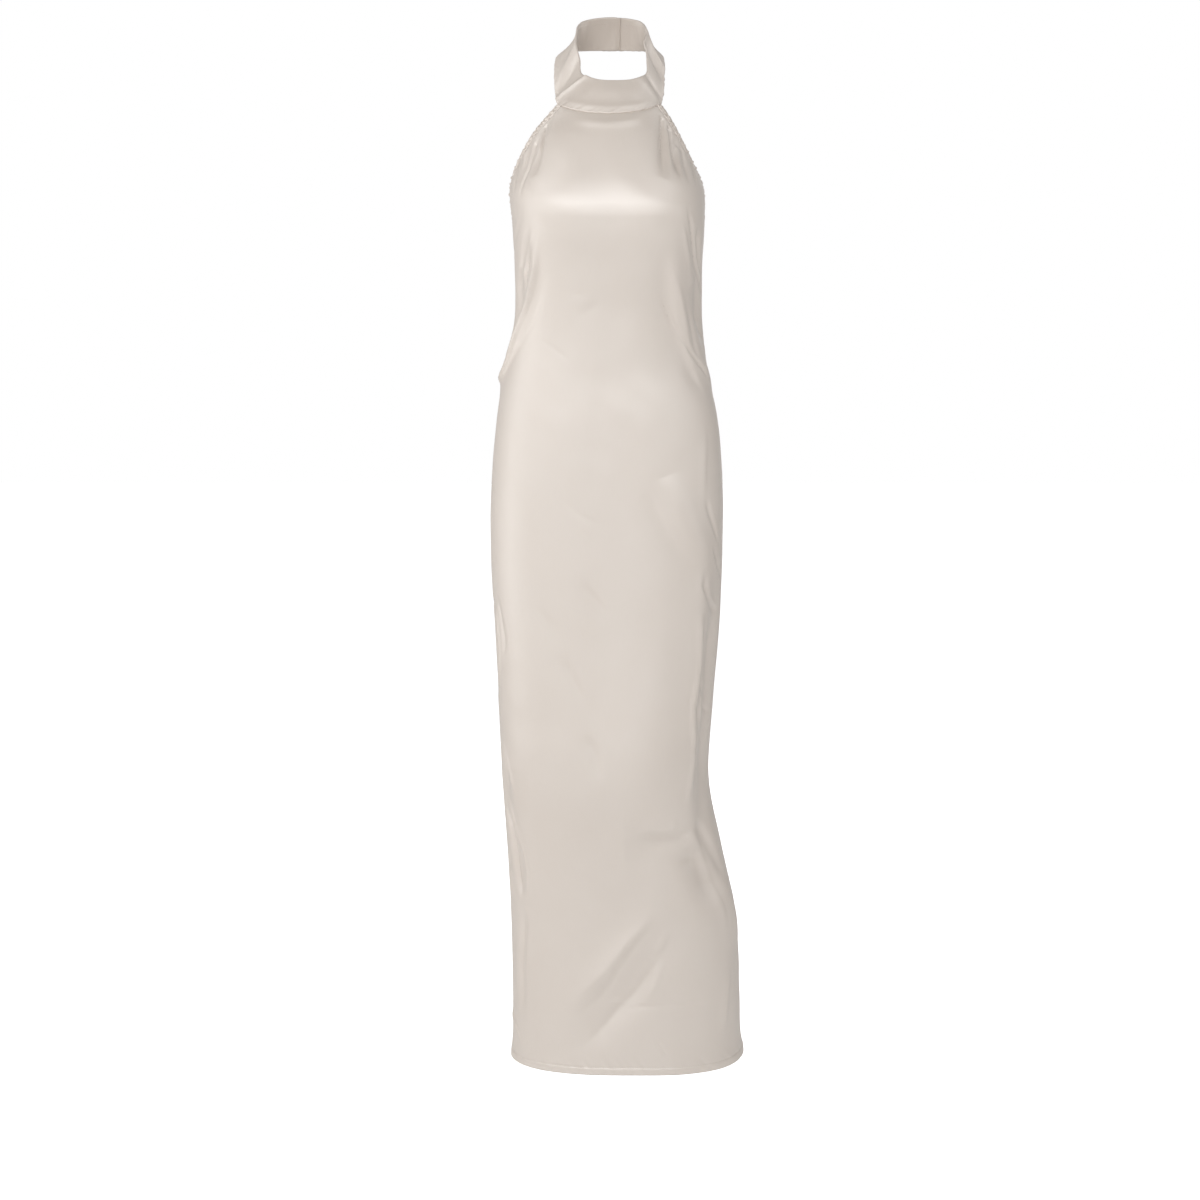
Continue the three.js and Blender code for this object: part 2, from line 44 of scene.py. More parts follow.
# Driving sizes, the same as in the part's source, but for two of the looks alone. SEAM_LAP is how far the
# front panel reaches past its seams, so that no light shows through them. HEM_ROWS_START is where the rows
# of the panels' grids grow closer, a little above the hem's stitching.
TRIM_WIDTH = 0.008
SEAM_GAP = 0.0003
SEAM_LAP = 0.0006
HEM_WIDTH = 0.010
SEAM_ANGLE = 94
COLLAR_ANGLE = 55.5
COLLAR_Z = -0.095
NECKLINE_DIP = 0.0145
NECKLINE_FADE = 0.110
UNDERARM_Z = -0.215
SCOOP_Z = -0.440
SCOOP_ROUNDNESS = 0.85
HEM_Z = -1.3315
HEM_ROWS_START = HEM_Z + HEM_WIDTH + 0.003
HEM_RISE_STARTS = -1.180
BUTTON_RADIUS = 0.005
BUTTON_HEIGHT = 0.003

# Cross-sections of the dress from the neck down. square and back_square say how square the rounded outline
# is in front and behind: 2 is an ellipse.
SECTION_COLUMNS = ("name", "z", "left", "right", "front", "back", "square", "back_square")
SECTIONS = [
    ("neck base", -90, 74, 74, 77, 60, 2, 2),
    ("collar bone", -110, 90, 86.5, 86, 64, 2.05, 2.05),
    ("upper chest", -135, 105.5, 96, 98, 72, 2.2, 2.2),
    ("chest", -165, 117.5, 106.5, 109, 80, 2.4, 2.4),
    ("underarm", -200, 126.5, 119.5, 118, 86, 2.7, 2.7),
    ("bust", -235, 124, 121, 122, 86, 2.9, 2.9),
    ("under bust", -300, 121, 118.5, 114, 80, 2.8, 2.7),
    ("waist", -365, 122, 119.5, 105, 71, 2.7, 2.5),
    ("high hip", -430, 135, 126, 104, 71, 2.7, 2.4),
    ("belly", -490, 144.5, 139, 107, 86, 2.8, 2.35),
    ("hip", -590, 152.5, 146.5, 111, 109, 3, 2.3),
    ("seat", -660, 153, 146, 112, 113, 3.1, 2.3),
    ("thigh", -760, 148.5, 142.5, 112, 103, 3.1, 2.3),
    ("lower thigh", -860, 144, 134.5, 112, 94, 3, 2.35),
    ("knee", -960, 139.5, 130, 111, 90, 2.9, 2.4),
    ("below knee", -1050, 133.5, 147.5, 104, 90, 2.6, 2.35),
    ("calf", -1140, 129, 166.5, 99, 94, 2.5, 2.3),
    ("low calf", -1240, 127, 172, 98, 99, 2.5, 2.3),
    ("hem line", -1300, 127.5, 174, 101, 103, 2.4, 2.3),
    ("hem", -1331.5, 129.5, 179, 103, 105, 2.35, 2.3),
]

# Edge of the armhole, from the collar to the side seam
ARMHOLE_COLUMNS = ("name", "z", "angle")
ARMHOLE = [
    ("collar", -95, COLLAR_ANGLE),
    ("collar bone", -125, 64),
    ("chest", -150, 69.5),
    ("front of arm", -175, 77.5),
    ("under arm", -193, 85),
    ("side seam", -215, SEAM_ANGLE),
]

# How far the hem hangs above its height at the front
HEM_RISE_COLUMNS = ("name", "angle", "rise")
HEM_RISE = [
    ("left side", -94, 1.5),
    ("left of front", -60, 0),
    ("front", 0, 0),
    ("right of front", 58, 0),
    ("right side", 94, 8),
    ("back", 180, 4),
    ("left side again", 266, 1.5),
]

# Soft swellings: the two cups that the darts give, and the place where the skirt is pushed forward
SWELLING_COLUMNS = ("name", "angle", "z", "wide", "tall", "height")
SWELLINGS = [
    ("left cup", -33, -228, 42, 44, 7),
    ("right cup", 33, -228, 42, 44, 7),
    ("forward fall", 27, -925, 52, 82, 8),
]

# The large folds, which the solids have too: a straight ridge, or a trough where the height is negative
FOLD_COLUMNS = ("name", "a0", "z0", "a1", "z1", "width", "height")
FOLDS = [
    ("left dart", -40, -244, -74, -352, 9, -2.5),
    ("right dart", 42, -238, 73, -360, 9, -2.5),
    ("left drape", -38, -256, -68, -408, 13, 4.5),
    ("left drape to hip", -55, -356, -91, -456, 13, 4.5),
    ("hollow left of it", -60, -305, -80, -392, 17, -8),
    ("right drape", 30, -250, 58, -425, 15, 4),
    ("right drape to hip", 56, -405, 86, -452, 13, 3.5),
    ("hollow right of it", 58, -318, 80, -400, 17, -7),
    ("left gather by collar", -56, -112, -43, -188, 8, -3),
    ("left gather by armhole", -62, -138, -51, -192, 8, -2.5),
    ("right gather by collar", 49, -108, 32, -190, 8, -3),
    ("right gather by armhole", 58, -128, 44, -186, 8, -3),
    ("right hip ridge", 36, -560, 58, -680, 17, 4),
    ("right flank edge", 53, -640, 50, -1010, 15, 3.5),
    ("right flank trough", 66, -670, 65, -900, 17, -5),
    ("left seam fold", -74, -720, -82, -850, 13, -4.5),
    ("left calf fold", -70, -890, -62, -1120, 15, -4.5),
    ("below the knee", 8, -1035, 52, -1040, 24, -4.5),
    ("beside the knee", 64, -860, 58, -1060, 19, -5),
    ("right calf ridge", 66, -1050, 80, -1180, 18, 4),
    ("upper slant fold", 30, -1106, -52, -1272, 22, 4),
    ("upper slant trough", 33, -1150, -34, -1306, 20, -3.5),
    ("sag under the scoop", 148, -478, 212, -478, 15, -5),
    ("second sag", 158, -512, 202, -512, 14, -3.5),
    ("left pull to seat", -104, -395, -138, -520, 16, 4.5),
    ("right pull to seat", 104, -395, 138, -530, 16, 4.5),
    ("below the seat", 150, -775, 206, -785, 24, -5),
    ("left back fall", -140, -760, -132, -1180, 22, 5),
    ("right back fall", 146, -800, 134, -1260, 24, 5.5),
    ("middle back fall", 178, -900, 184, -1330, 24, -5),
    ("back hem slant", -118, -1130, -158, -1300, 24, -4.5),
]

# The fine creases, which only the looks have: points, width, height, skew, starts and ends. Each runs
# smoothly through its points, given as (angle, z). skew makes one flank steeper than the other, and starts
# and ends are the shares of its length over which it comes in and fades away. Those with a height above 0
# catch the light.
CREASES = [
    # Below the collar seam and above the bust
    ([(-34, -113), (-17, -119), (0, -122), (17, -119), (34, -112)], 6.0, 1.2, 0, 0.4, 0.4),
    ([(-54, -122), (-46, -146), (-43, -170), (-43, -192)], 2.2, -2.2, 0.3, 0.05, 0.6),
    ([(-53, -108), (-47, -129), (-46, -140)], 1.8, -1.2, 0, 0.1, 0.6),
    ([(-55, -142), (-51, -171), (-51, -194), (-53, -220)], 2.4, -1.8, -0.3, 0.08, 0.5),
    ([(-52, -128), (-48, -152), (-47, -182)], 2.2, 1.3, 0, 0.1, 0.6),
    ([(-63, -153), (-56, -181)], 2.2, 1.4, 0, 0.1, 0.5),
    ([(-70, -166), (-62, -190), (-60, -212)], 2.2, -1.6, 0, 0.1, 0.5),
    ([(-80, -186), (-70, -206), (-66, -226)], 2.2, -1.4, 0, 0.1, 0.5),
    ([(50, -112), (42, -142), (36, -168), (32, -190)], 2.2, -2.0, 0.3, 0.05, 0.5),
    ([(54, -124), (48, -151), (45, -174), (43, -194)], 2.4, -2.6, -0.3, 0.05, 0.45),
    ([(60, -150), (52, -182), (49, -200)], 2.3, -1.8, 0, 0.1, 0.5),
    ([(68, -164), (60, -188), (56, -206)], 2.3, -1.5, 0, 0.1, 0.5),
    ([(50, -128), (43, -161), (38, -193)], 2.4, 1.4, 0, 0.1, 0.5),
    ([(55, -148), (48, -180), (45, -198)], 2.4, 1.5, 0, 0.1, 0.5),
    # From the bust to the left hip
    ([(-51, -229), (-70, -248), (-90, -261)], 2.2, -0.7, 0, 0.3, 0.1),
    ([(-48, -232), (-58, -254), (-70, -278)], 2.4, -0.7, 0, 0.3, 0.4),
    ([(-56, -221), (-88, -241)], 2.2, -0.6, 0, 0.4, 0.1),
    ([(-60, -262), (-88, -286)], 2.4, -0.7, 0, 0.4, 0.1),
    ([(-40, -244), (-47, -272), (-56, -305), (-71, -350)], 1.7, 0.8, 0, 0.2, 0.1),
    ([(-43, -245), (-51, -272), (-61, -305), (-75, -336)], 3.2, -1.0, 0.3, 0.3, 0.2),
    ([(-40, -264), (-45, -309), (-58, -365), (-73, -422), (-90, -450)], 2.6, 2.8, 0.3, 0.2, 0.1),
    ([(-45, -266), (-53, -309), (-67, -380), (-77, -416), (-92, -438)], 5.0, -4.5, 0, 0.2, 0.1),
    ([(-36, -290), (-46, -345), (-60, -398), (-80, -452)], 6.0, -0.9, 0.2, 0.4, 0.2),
    # From the bust to the right hip
    ([(44, -230), (48, -252), (53, -275), (62, -305), (80, -338)], 1.8, -1.8, 0, 0.1, 0.1),
    ([(40, -246), (46, -275), (54, -306)], 3.0, 1.3, 0, 0.3, 0.4),
    ([(54, -250), (62, -285), (74, -312)], 4.0, -2.8, 0, 0.2, 0.3),
    ([(30, -262), (35, -320), (41, -370), (52, -420), (64, -466)], 8.0, -1.8, 0.5, 0.3, 0.2),
    ([(32, -331), (38, -355), (45, -378), (57, -410), (72, -438)], 2.2, -1.7, 0.3, 0.2, 0.1),
    ([(35, -296), (42, -328), (49, -365), (56, -402)], 5.0, 1.1, 0, 0.3, 0.4),
    ([(48, -328), (56, -378), (64, -428)], 5.5, -1.3, 0.3, 0.4, 0.3),
    ([(62, -340), (72, -372), (88, -398)], 4.0, -1.0, 0, 0.4, 0.1),
    # Over the belly
    ([(-25, -334), (-20, -333), (-14, -335)], 3.0, -0.25, 0, 0.4, 0.4),
    ([(-28, -345), (-17, -343), (-6, -338)], 4.5, 0.2, 0, 0.4, 0.4),
    ([(-24, -365), (-14, -355), (-4, -340)], 6.0, -0.4, 0, 0.4, 0.4),
    ([(-48, -385), (-37, -397), (-28, -410), (-23, -418)], 2.0, -0.22, 0.4, 0.3, 0.3),
    ([(-24, -522), (-8, -534), (8, -540)], 16, -0.2, 0, 0.4, 0.4),
    # Slanted creases over the front of the skirt
    ([(-30, -585), (-22, -599), (-14, -612), (0, -622)], 4.6, -0.5, 0.3, 0.4, 0.4),
    ([(-20, -622), (-13, -634), (-3, -648)], 4.4, -0.4, 0.3, 0.4, 0.4),
    ([(-21, -684), (-12, -705), (-4, -725), (3, -743)], 5.5, -0.8, 0.3, 0.4, 0.4),
    ([(-28, -782), (-21, -817), (-13, -850)], 6.5, -1.1, 0.2, 0.3, 0.4),
    ([(-14, -885), (-6, -913), (-4, -955)], 7.0, -1.1, 0.2, 0.3, 0.4),
    ([(-46, -715), (-38, -735), (-30, -768)], 6.0, -0.7, 0, 0.4, 0.4),
    # Right hip and flank
    ([(25, -571), (28, -596), (38, -641), (49, -676)], 7.0, -0.8, 0.4, 0.4, 0.35),
    ([(32, -575), (38, -602), (44, -628), (54, -656)], 7.0, 0.5, 0, 0.4, 0.4),
    ([(57, -588), (60, -615), (68, -650)], 3.4, -1.4, 0.3, 0.2, 0.3),
    ([(61, -648), (68, -677), (76, -694)], 3.4, -1.3, 0, 0.3, 0.2),
    ([(56, -683), (56, -706), (63, -727), (74, -738)], 4.2, -1.8, 0.3, 0.2, 0.3),
    ([(53, -680), (52, -702), (57, -721)], 2.8, 1.1, 0, 0.3, 0.3),
    ([(60, -490), (56, -553), (55, -600)], 5.0, 0.9, 0.3, 0.4, 0.4),
    ([(52, -724), (52, -804), (49, -861), (51, -923), (46, -990)], 4.0, 1.6, -0.5, 0.15, 0.15),
    ([(56, -728), (57, -804), (54, -861), (56, -923), (52, -985)], 5.0, -1.7, 0, 0.15, 0.2),
    ([(52, -805), (56, -826), (63, -852), (74, -872)], 3.4, -1.1, 0, 0.2, 0.3),
    ([(49, -845), (53, -861), (59, -887), (68, -906)], 3.4, -1.1, 0, 0.2, 0.3),
    ([(50, -897), (53, -916), (60, -942)], 3.2, -0.9, 0, 0.2, 0.3),
    # Left side seam
    ([(-66, -716), (-61, -771), (-63, -800)], 3.6, -1.6, 0, 0.2, 0.3),
    ([(-70, -722), (-67, -786), (-71, -841)], 3.0, 1.5, 0, 0.2, 0.3),
    ([(-66, -700), (-78, -722), (-90, -735)], 2.8, -1.0, 0, 0.3, 0.1),
    ([(-72, -780), (-82, -812), (-91, -830)], 3.0, -1.1, 0, 0.3, 0.1),
    ([(-70, -898), (-64, -921), (-60, -946), (-57, -976)], 3.2, 1.3, 0.3, 0.2, 0.3),
    ([(-74, -905), (-68, -935), (-64, -972)], 3.6, -1.3, 0, 0.2, 0.3),
    ([(-69, -980), (-63, -1015), (-58, -1060), (-62, -1112)], 3.2, 2.0, 0.3, 0.15, 0.2),
    ([(-75, -985), (-69, -1025), (-66, -1112)], 4.0, -3.0, 0, 0.2, 0.2),
    ([(-76, -1070), (-77, -1112)], 2.6, 1.4, 0, 0.3, 0.3),
    ([(-64, -1115), (-69, -1194), (-68, -1275)], 6.0, -2.6, 0, 0.2, 0.3),
    ([(-86, -1264), (-74, -1289), (-68, -1310)], 3.2, 1.6, 0, 0.3, 0.3),
    # About the knee
    ([(20, -1004), (28, -1011), (37, -1011), (42, -1000)], 4.5, 1.0, 0, 0.4, 0.2),
    ([(14, -1017), (28, -1027), (40, -1027), (52, -1014)], 8.0, -2.2, 0.2, 0.4, 0.2),
    ([(46, -1028), (55, -1064), (64, -1122)], 20, -5.5, 0, 0.3, 0.4),
    ([(43, -1002), (56, -1042), (64, -1117), (68, -1177)], 6.0, 1.0, 0.3, 0.2, 0.3),
    ([(53, -1000), (64, -1042), (74, -1100)], 9.0, -2.4, 0, 0.2, 0.3),
    ([(64, -720), (66, -810), (65, -900), (64, -980)], 17, -4.0, 0, 0.25, 0.3),
    # Long slants above the hem
    ([(28, -1113), (4, -1155), (-20, -1205), (-51, -1267)], 5.5, 1.0, 0.3, 0.3, 0.4),
    ([(28, -1124), (2, -1175), (-19, -1228), (-44, -1271)], 6.0, -1.3, -0.3, 0.35, 0.35),
    ([(30, -1140), (26, -1161), (18, -1181)], 5.0, 0.9, 0, 0.3, 0.5),
    ([(28, -1166), (12, -1214), (-9, -1251), (-35, -1307)], 6.0, -1.2, -0.3, 0.35, 0.35),
    ([(28, -1179), (21, -1214), (14, -1237)], 4.0, 0.8, 0, 0.3, 0.4),
    ([(-17, -1240), (-8, -1238), (0, -1238)], 4.0, 0.7, 0, 0.4, 0.4),
    ([(-7, -1247), (17, -1242), (42, -1243), (62, -1246)], 2.0, -0.6, 0.4, 0.3, 0.3),
    ([(20, -1286), (24, -1296), (29, -1312)], 2.6, -0.8, 0, 0.3, 0.3),
    ([(68, -1192), (65, -1244), (62, -1297)], 6.0, 1.3, 0.3, 0.3, 0.3),
    # Back: sags under the scoop, pulls over the seat, long falls to the hem
    ([(142, -464), (180, -482), (218, -466)], 6.0, -0.8, 0.3, 0.45, 0.45),
    ([(150, -496), (180, -513), (208, -499)], 6.0, -0.7, 0.3, 0.45, 0.45),
    ([(146, -486), (180, -500), (212, -487)], 6.0, 0.6, 0, 0.45, 0.45),
    ([(98, -362), (114, -398), (130, -436)], 3.6, -1.3, 0.3, 0.1, 0.5),
    ([(98, -410), (118, -452), (138, -496)], 3.8, -1.3, 0.3, 0.1, 0.5),
    ([(98, -386), (116, -426), (132, -468)], 3.8, 1.1, 0, 0.1, 0.5),
    ([(262, -366), (246, -404), (230, -446)], 3.6, -1.3, 0.3, 0.1, 0.5),
    ([(262, -416), (242, -460), (224, -502)], 3.8, -1.2, 0.3, 0.1, 0.5),
    ([(262, -390), (244, -432), (228, -476)], 3.8, 1.1, 0, 0.1, 0.5),
    ([(130, -730), (154, -755), (178, -758)], 6.0, -0.7, 0.3, 0.45, 0.45),
    ([(184, -757), (208, -752), (232, -730)], 6.0, -0.7, 0.3, 0.45, 0.45),
    ([(142, -788), (172, -816), (204, -816)], 6.5, -0.6, 0.2, 0.45, 0.45),
    ([(140, -762), (176, -782), (214, -768)], 7.0, 0.4, 0, 0.45, 0.45),
    ([(120, -840), (146, -908), (168, -976)], 6.5, -0.9, 0.3, 0.45, 0.45),
    ([(242, -860), (218, -930), (196, -1010)], 6.5, -0.9, 0.3, 0.45, 0.45),
    ([(142, -1040), (166, -1118), (186, -1206)], 6.0, -0.9, 0.3, 0.45, 0.45),
    ([(246, -1060), (228, -1152), (210, -1246)], 6.0, -0.9, 0.3, 0.45, 0.45),
    ([(126, -1262), (156, -1266), (190, -1276)], 3.0, -0.25, 0.4, 0.4, 0.4),
    ([(96, -940), (106, -990), (118, -1046)], 3.6, -1.3, 0.3, 0.1, 0.4),
    ([(96, -1112), (108, -1160), (120, -1216)], 3.6, -1.2, 0.3, 0.1, 0.4),
    ([(264, -696), (256, -722), (244, -750)], 3.2, -1.2, 0.2, 0.1, 0.4),
    ([(264, -905), (252, -960), (244, -1030)], 3.6, -1.2, 0.2, 0.1, 0.4),
]

# Collar band from its under end at the nape, round the left, the front and the right, to the end over it
BAND_COLUMNS = ("name", "at", "low_x", "low_y", "low_z", "top_x", "top_y", "top_z", "bulge")
BAND = [
    ("under end", -192, 13, 60, -19.5, 14, 49.5, 20, 1),
    ("nape", -180, 0, 61, -19.5, 2, 51, 20.5, 1),
    ("left of nape", -150, -29, 56, -20, -22, 46, 18, 0),
    ("left back", -125, -53, 38, -23, -37.5, 33, 12, -4),
    ("left side", -100, -68, 12, -33, -43, 13, 0, -7),
    ("left front", -80, -70, -12, -53, -42.5, -10, -18, -3),
    ("above left corner", -66, -69, -30, -76, -39.5, -29, -38, 0),
    ("left corner", -57, -66.5, -42.5, -93, -36.5, -43, -57, 1.5),
    ("past left corner", -48, -58, -53, -99, -29, -53, -62, 1),
    ("front", 0, 0, -86, -109, 3, -64, -68, 1.5),
    ("before right corner", 48, 58, -53, -99, 41, -50, -62, 1),
    ("right corner", 57, 66.5, -42.5, -93, 48, -40, -56, 1.5),
    ("above right corner", 66, 69, -30, -76, 48, -27, -38, 0),
    ("right front", 80, 70, -12, -53, 48, -10, -18, -2),
    ("right side", 100, 69, 12, -33, 48.5, 13, 0, -5),
    ("right back", 125, 55, 38, -23, 43, 34, 12, -3),
    ("right of nape", 150, 31, 57.5, -20, 28, 48, 18, 0),
    ("over the nape", 180, 0, 64.5, -19.5, 2, 54.5, 20.5, 1),
    ("over end", 192, -13, 64, -19.5, -10, 54, 20, 1),
]

# Creases of the band. c0 and c1 are places across it, from 0 at its lower edge to 1 at its upper one.
BAND_CREASE_COLUMNS = ("name", "at0", "c0", "at1", "c1", "width", "height", "sharp")
BAND_CREASES = [
    ("left corner fold", -49, 1.02, -60, -0.02, 3.0, 3.0, 1),
    ("wedge outside it", -66, 1.0, -62, 0.10, 5.0, -4.0, 0),
    ("left outer ridge", -82, 1.0, -70, 0.2, 6.0, 1.8, 0),
    ("left side dent", -98, 0.95, -86, 0.30, 6.5, -1.4, 0),
    ("right corner fold", 54, 1.02, 59, -0.02, 4.5, -3.0, 1),
    ("right pressed side", 84, 1.05, 74, 0.15, 8.0, -5.0, 0),
    ("ridge inside it", 46, 0.9, 54, 0.05, 6.0, 1.2, 0),
    ("ridge outside it", 98, 0.9, 84, 0.10, 5.0, 2.5, 0),
    ("front hollow", -20, 0.45, 24, 0.40, 9.0, -0.7, 0),
    ("front lower swell", -44, 0.18, 44, 0.18, 4.0, 0.5, 0),
    ("left nape dent", -136, 1.0, -140, 0.10, 7.0, -1.3, 0),
    ("right nape dent", 138, 1.0, 134, 0.10, 7.0, -1.2, 0),
]

# How deep the fine creases are, as a share of the heights in their table
CREASE_DEPTH = 1.5

# Cloth and how finely it is divided
CLOTH = 0.0011
BAND_CLOTH = 0.0023
TRIM_CLOTH = 0.0022
TRIM_LIFT = 0.0003
FRONT_COLUMNS = 164
ARMHOLE_ROWS = 57
SIDE_ROWS = 384
HEM_ROWS = 16
BACK_COLUMNS = 150
BACK_ROWS = 380
BAND_STEPS = 360
BAND_ROWS = 30
BAND_WIDTH = 0.042
TRIM_STEPS = 190
TRIM_ROWS = 12
SCOOP_STEPS = 400
STITCH_LENGTH = 0.0024
STITCH_GAP = 0.0008
STITCH_RADIUS = 0.00022

# Usual width of one degree of cloth, for the waves of the whole dress and for the hem's puckers
DEGREE_WIDTH = 0.0022
HEM_DEGREE_WIDTH = 0.0024

# The photograph was taken from in front, a little above the middle of the dress
CAMERA_PLACE = (-0.012, -3.378, -0.343)
CAMERA_DOWN = math.radians(6.5)
CAMERA_LENS = 78.45
FLOOR_Z = -1.545
FLOOR_HALF = 14.0
WHITE = (1, 1, 1, 1)

# Columns of the tables that are no lengths
NOT_LENGTHS = {"name", "angle", "square", "back_square", "a0", "a1", "at", "at0", "at1", "c0", "c1", "sharp"}


def in_metres(columns, rows):
    """Rows of a table with their lengths in metres."""
    return [tuple(v if c in NOT_LENGTHS else v * MM for c, v in zip(columns, row)) for row in rows]


def smooth_table(columns, rows):
    """Smooth functions of a table's first number: a cubic through its rows."""
    values = np.array([row[1:] for row in in_metres(columns, rows)], dtype=float)
    values = values[np.argsort(values[:, 0])]
    at, rest = values[:, 0], values[:, 1:]
    slopes = np.diff(rest, axis=0) / np.diff(at)[:, None]
    tangents = np.vstack([slopes[:1], (slopes[1:] + slopes[:-1]) / 2, slopes[-1:]])

    def evaluate(where):
        where = np.clip(np.asarray(where, dtype=float), at[0], at[-1])
        i = np.clip(np.searchsorted(at, where) - 1, 0, len(at) - 2)
        span = (at[i + 1] - at[i])[..., None]
        p = (where - at[i])[..., None] / span
        start = (2 * p**3 - 3 * p**2 + 1) * rest[i] + (p**3 - 2 * p**2 + p) * span * tangents[i]
        end = (3 * p**2 - 2 * p**3) * rest[i + 1] + (p**3 - p**2) * span * tangents[i + 1]
        return dict(zip(columns[2:], np.moveaxis(start + end, -1, 0)))

    return evaluate


section_at = smooth_table(SECTION_COLUMNS, SECTIONS)
armhole_at = smooth_table(ARMHOLE_COLUMNS, ARMHOLE)
hem_rise_at = smooth_table(HEM_RISE_COLUMNS, HEM_RISE)
band_at = smooth_table(BAND_COLUMNS, BAND)


def smoothstep(value, low, high):
    share = np.clip((value - low) / (high - low), 0, 1)
    return share * share * (3 - 2 * share)


def mix(a, b, share):
    return a + (b - a) * share


def wrapped(angle):
    return (angle + 180) % 360 - 180


def unit(vectors):
    return vectors / np.maximum(np.linalg.norm(vectors, axis=-1, keepdims=True), 1e-12)


def reach(section, angle):
    """Reach of a section from its own middle in one direction."""
    turn = np.radians(angle)
    in_front = np.cos(turn) > 0
    width = (section["left"] + section["right"]) / 2
    depth = np.where(in_front, section["front"], section["back"])
    power = np.where(in_front, section["square"], section["back_square"])
    return (np.abs(np.sin(turn) / width) ** power + np.abs(np.cos(turn) / depth) ** power) ** (-1 / power)


def line_place(angle, z, per_degree, a0, z0, a1, z1):
    """Share of the way along a straight line on the cloth, and the distance beside it."""
    span_across = (a1 - a0) * per_degree
    span_along = z1 - z0
    span = np.hypot(span_across, span_along)
    across = wrapped(angle - a0) * per_degree
    along = z - z0
    share = (across * span_across + along * span_along) / span**2
    beside = (across * span_along - along * span_across) / span
    return share, beside


def large_folds(angle, z, per_degree):
    """How far the swellings and the large folds move the cloth out."""
    moved = np.zeros(np.shape(z))
    for name, at, level, wide, tall, height in in_metres(SWELLING_COLUMNS, SWELLINGS):
        across = wrapped(angle - at) * per_degree / wide
        moved += height * np.exp(-(across**2 + ((z - level) / tall) ** 2) / 2)
    for name, a0, z0, a1, z1, width, height in in_metres(FOLD_COLUMNS, FOLDS):
        share, beside = line_place(angle, z, per_degree, a0, z0, a1, z1)
        taper = np.sin(np.pi * np.clip(share, 0, 1)) ** 0.8
        moved += height * taper * np.exp(-((beside / width) ** 2))
    return moved


def smooth_line(points, steps=6):
    """Points of a smooth curve that passes through the given ones."""
    points = np.array(points, dtype=float)
    before = np.vstack([2 * points[:1] - points[1:2], points[:-2]])
    after = np.vstack([points[2:], 2 * points[-1:] - points[-2:-1]])
    t = np.linspace(0, 1, steps, endpoint=False)[None, :, None]
    p0, p1, p2, p3 = (p[:, None, :] for p in (before, points[:-1], points[1:], after))
    curve = p1 + (p2 - p0) * t / 2 + (p0 - 2.5 * p1 + 2 * p2 - p3 / 2) * t**2
    curve = curve + (1.5 * p1 - p0 / 2 - 1.5 * p2 + p3 / 2) * t**3
    return np.vstack([curve.reshape(-1, 2), points[-1:]])


def nearest_on_line(line, angle, z, per_degree):
    """Distance to a curve on the cloth, with a sign for its side, and the share of the way along it."""
    steps = np.hypot(np.diff(line[:, 0]) * np.mean(per_degree), np.diff(line[:, 1]))
    start = np.concatenate([[0], np.cumsum(steps)])
    best = np.full(angle.shape, np.inf)
    side = np.zeros(angle.shape)
    share = np.zeros(angle.shape)
    for i in range(len(line) - 1):
        span_across = (line[i + 1, 0] - line[i, 0]) * per_degree
        span_along = line[i + 1, 1] - line[i, 1]
        across = wrapped(angle - line[i, 0]) * per_degree
        along = z - line[i, 1]
        part = (across * span_across + along * span_along) / (span_across**2 + span_along**2)
        part = np.clip(part, 0, 1)
        gap = np.hypot(across - part * span_across, along - part * span_along)
        closer = gap < best
        best = np.where(closer, gap, best)
        side = np.where(closer, np.sign(across * span_along - along * span_across), side)
        share = np.where(closer, (start[i] + part * steps[i]) / start[-1], share)
    return best * side, share


def fine_creases(angle, z, per_degree):
    """How far the fine creases move the cloth out."""
    moved = np.zeros(np.shape(z))
    for points, width, height, skew, starts, ends in CREASES:
        line = smooth_line(points) * np.array([1, MM])
        width, height = width * MM, height * MM * CREASE_DEPTH
        margin = 3.2 * width
        middle = line[:, 0].mean()
        half = np.abs(line[:, 0] - middle).max() + margin / np.min(per_degree)
        near = (z > line[:, 1].min() - margin) & (z < line[:, 1].max() + margin)
        near &= np.abs(wrapped(angle - middle)) < half
        if not near.any():
            continue
        beside, share = nearest_on_line(line, angle[near], z[near], per_degree[near])
        wide = width * (1 + skew * np.tanh(beside / width))
        taper = smoothstep(share, 0, starts) * smoothstep(1 - share, 0, ends)
        moved[near] += height * taper * np.exp(-((beside / wide) ** 2))
    return moved


def soft_waves(angle, z, seed, height, longest, shortest, count=16):
    """Faint uneven undulation, as the sum of a few waves in different directions."""
    chance = np.random.default_rng(seed)
    moved = np.zeros(np.broadcast(angle, z).shape)
    across = angle * DEGREE_WIDTH
    for turn, length, phase in zip(
        chance.uniform(0, math.pi, count),
        chance.uniform(shortest, longest, count),
        chance.uniform(0, 2 * math.pi, count),
    ):
        moved += np.sin((across * math.cos(turn) + z * math.sin(turn)) * 2 * math.pi / length + phase)
    return height * moved / math.sqrt(count)


def surface(angle, z, detail=False):
    """Points on the outside of the dress, at angles round the Z axis and heights."""
    angle, z = np.broadcast_arrays(np.asarray(angle, dtype=float), np.asarray(z, dtype=float))
    section = section_at(z)
    turn = np.radians(angle)
    out = reach(section, angle)
    per_degree = np.radians(out)
    moved = large_folds(angle, z, per_degree)
    if detail:
        moved += fine_creases(angle, z, per_degree)
        moved += soft_waves(angle, z, 11, 0.00014, 0.085, 0.030)
    out = out + moved
    middle = (section["right"] - section["left"]) / 2
    return np.stack([middle + out * np.sin(turn), -out * np.cos(turn), z], axis=-1)


def degrees_for(length, angle, z):
    return np.degrees(length / reach(section_at(z), angle))


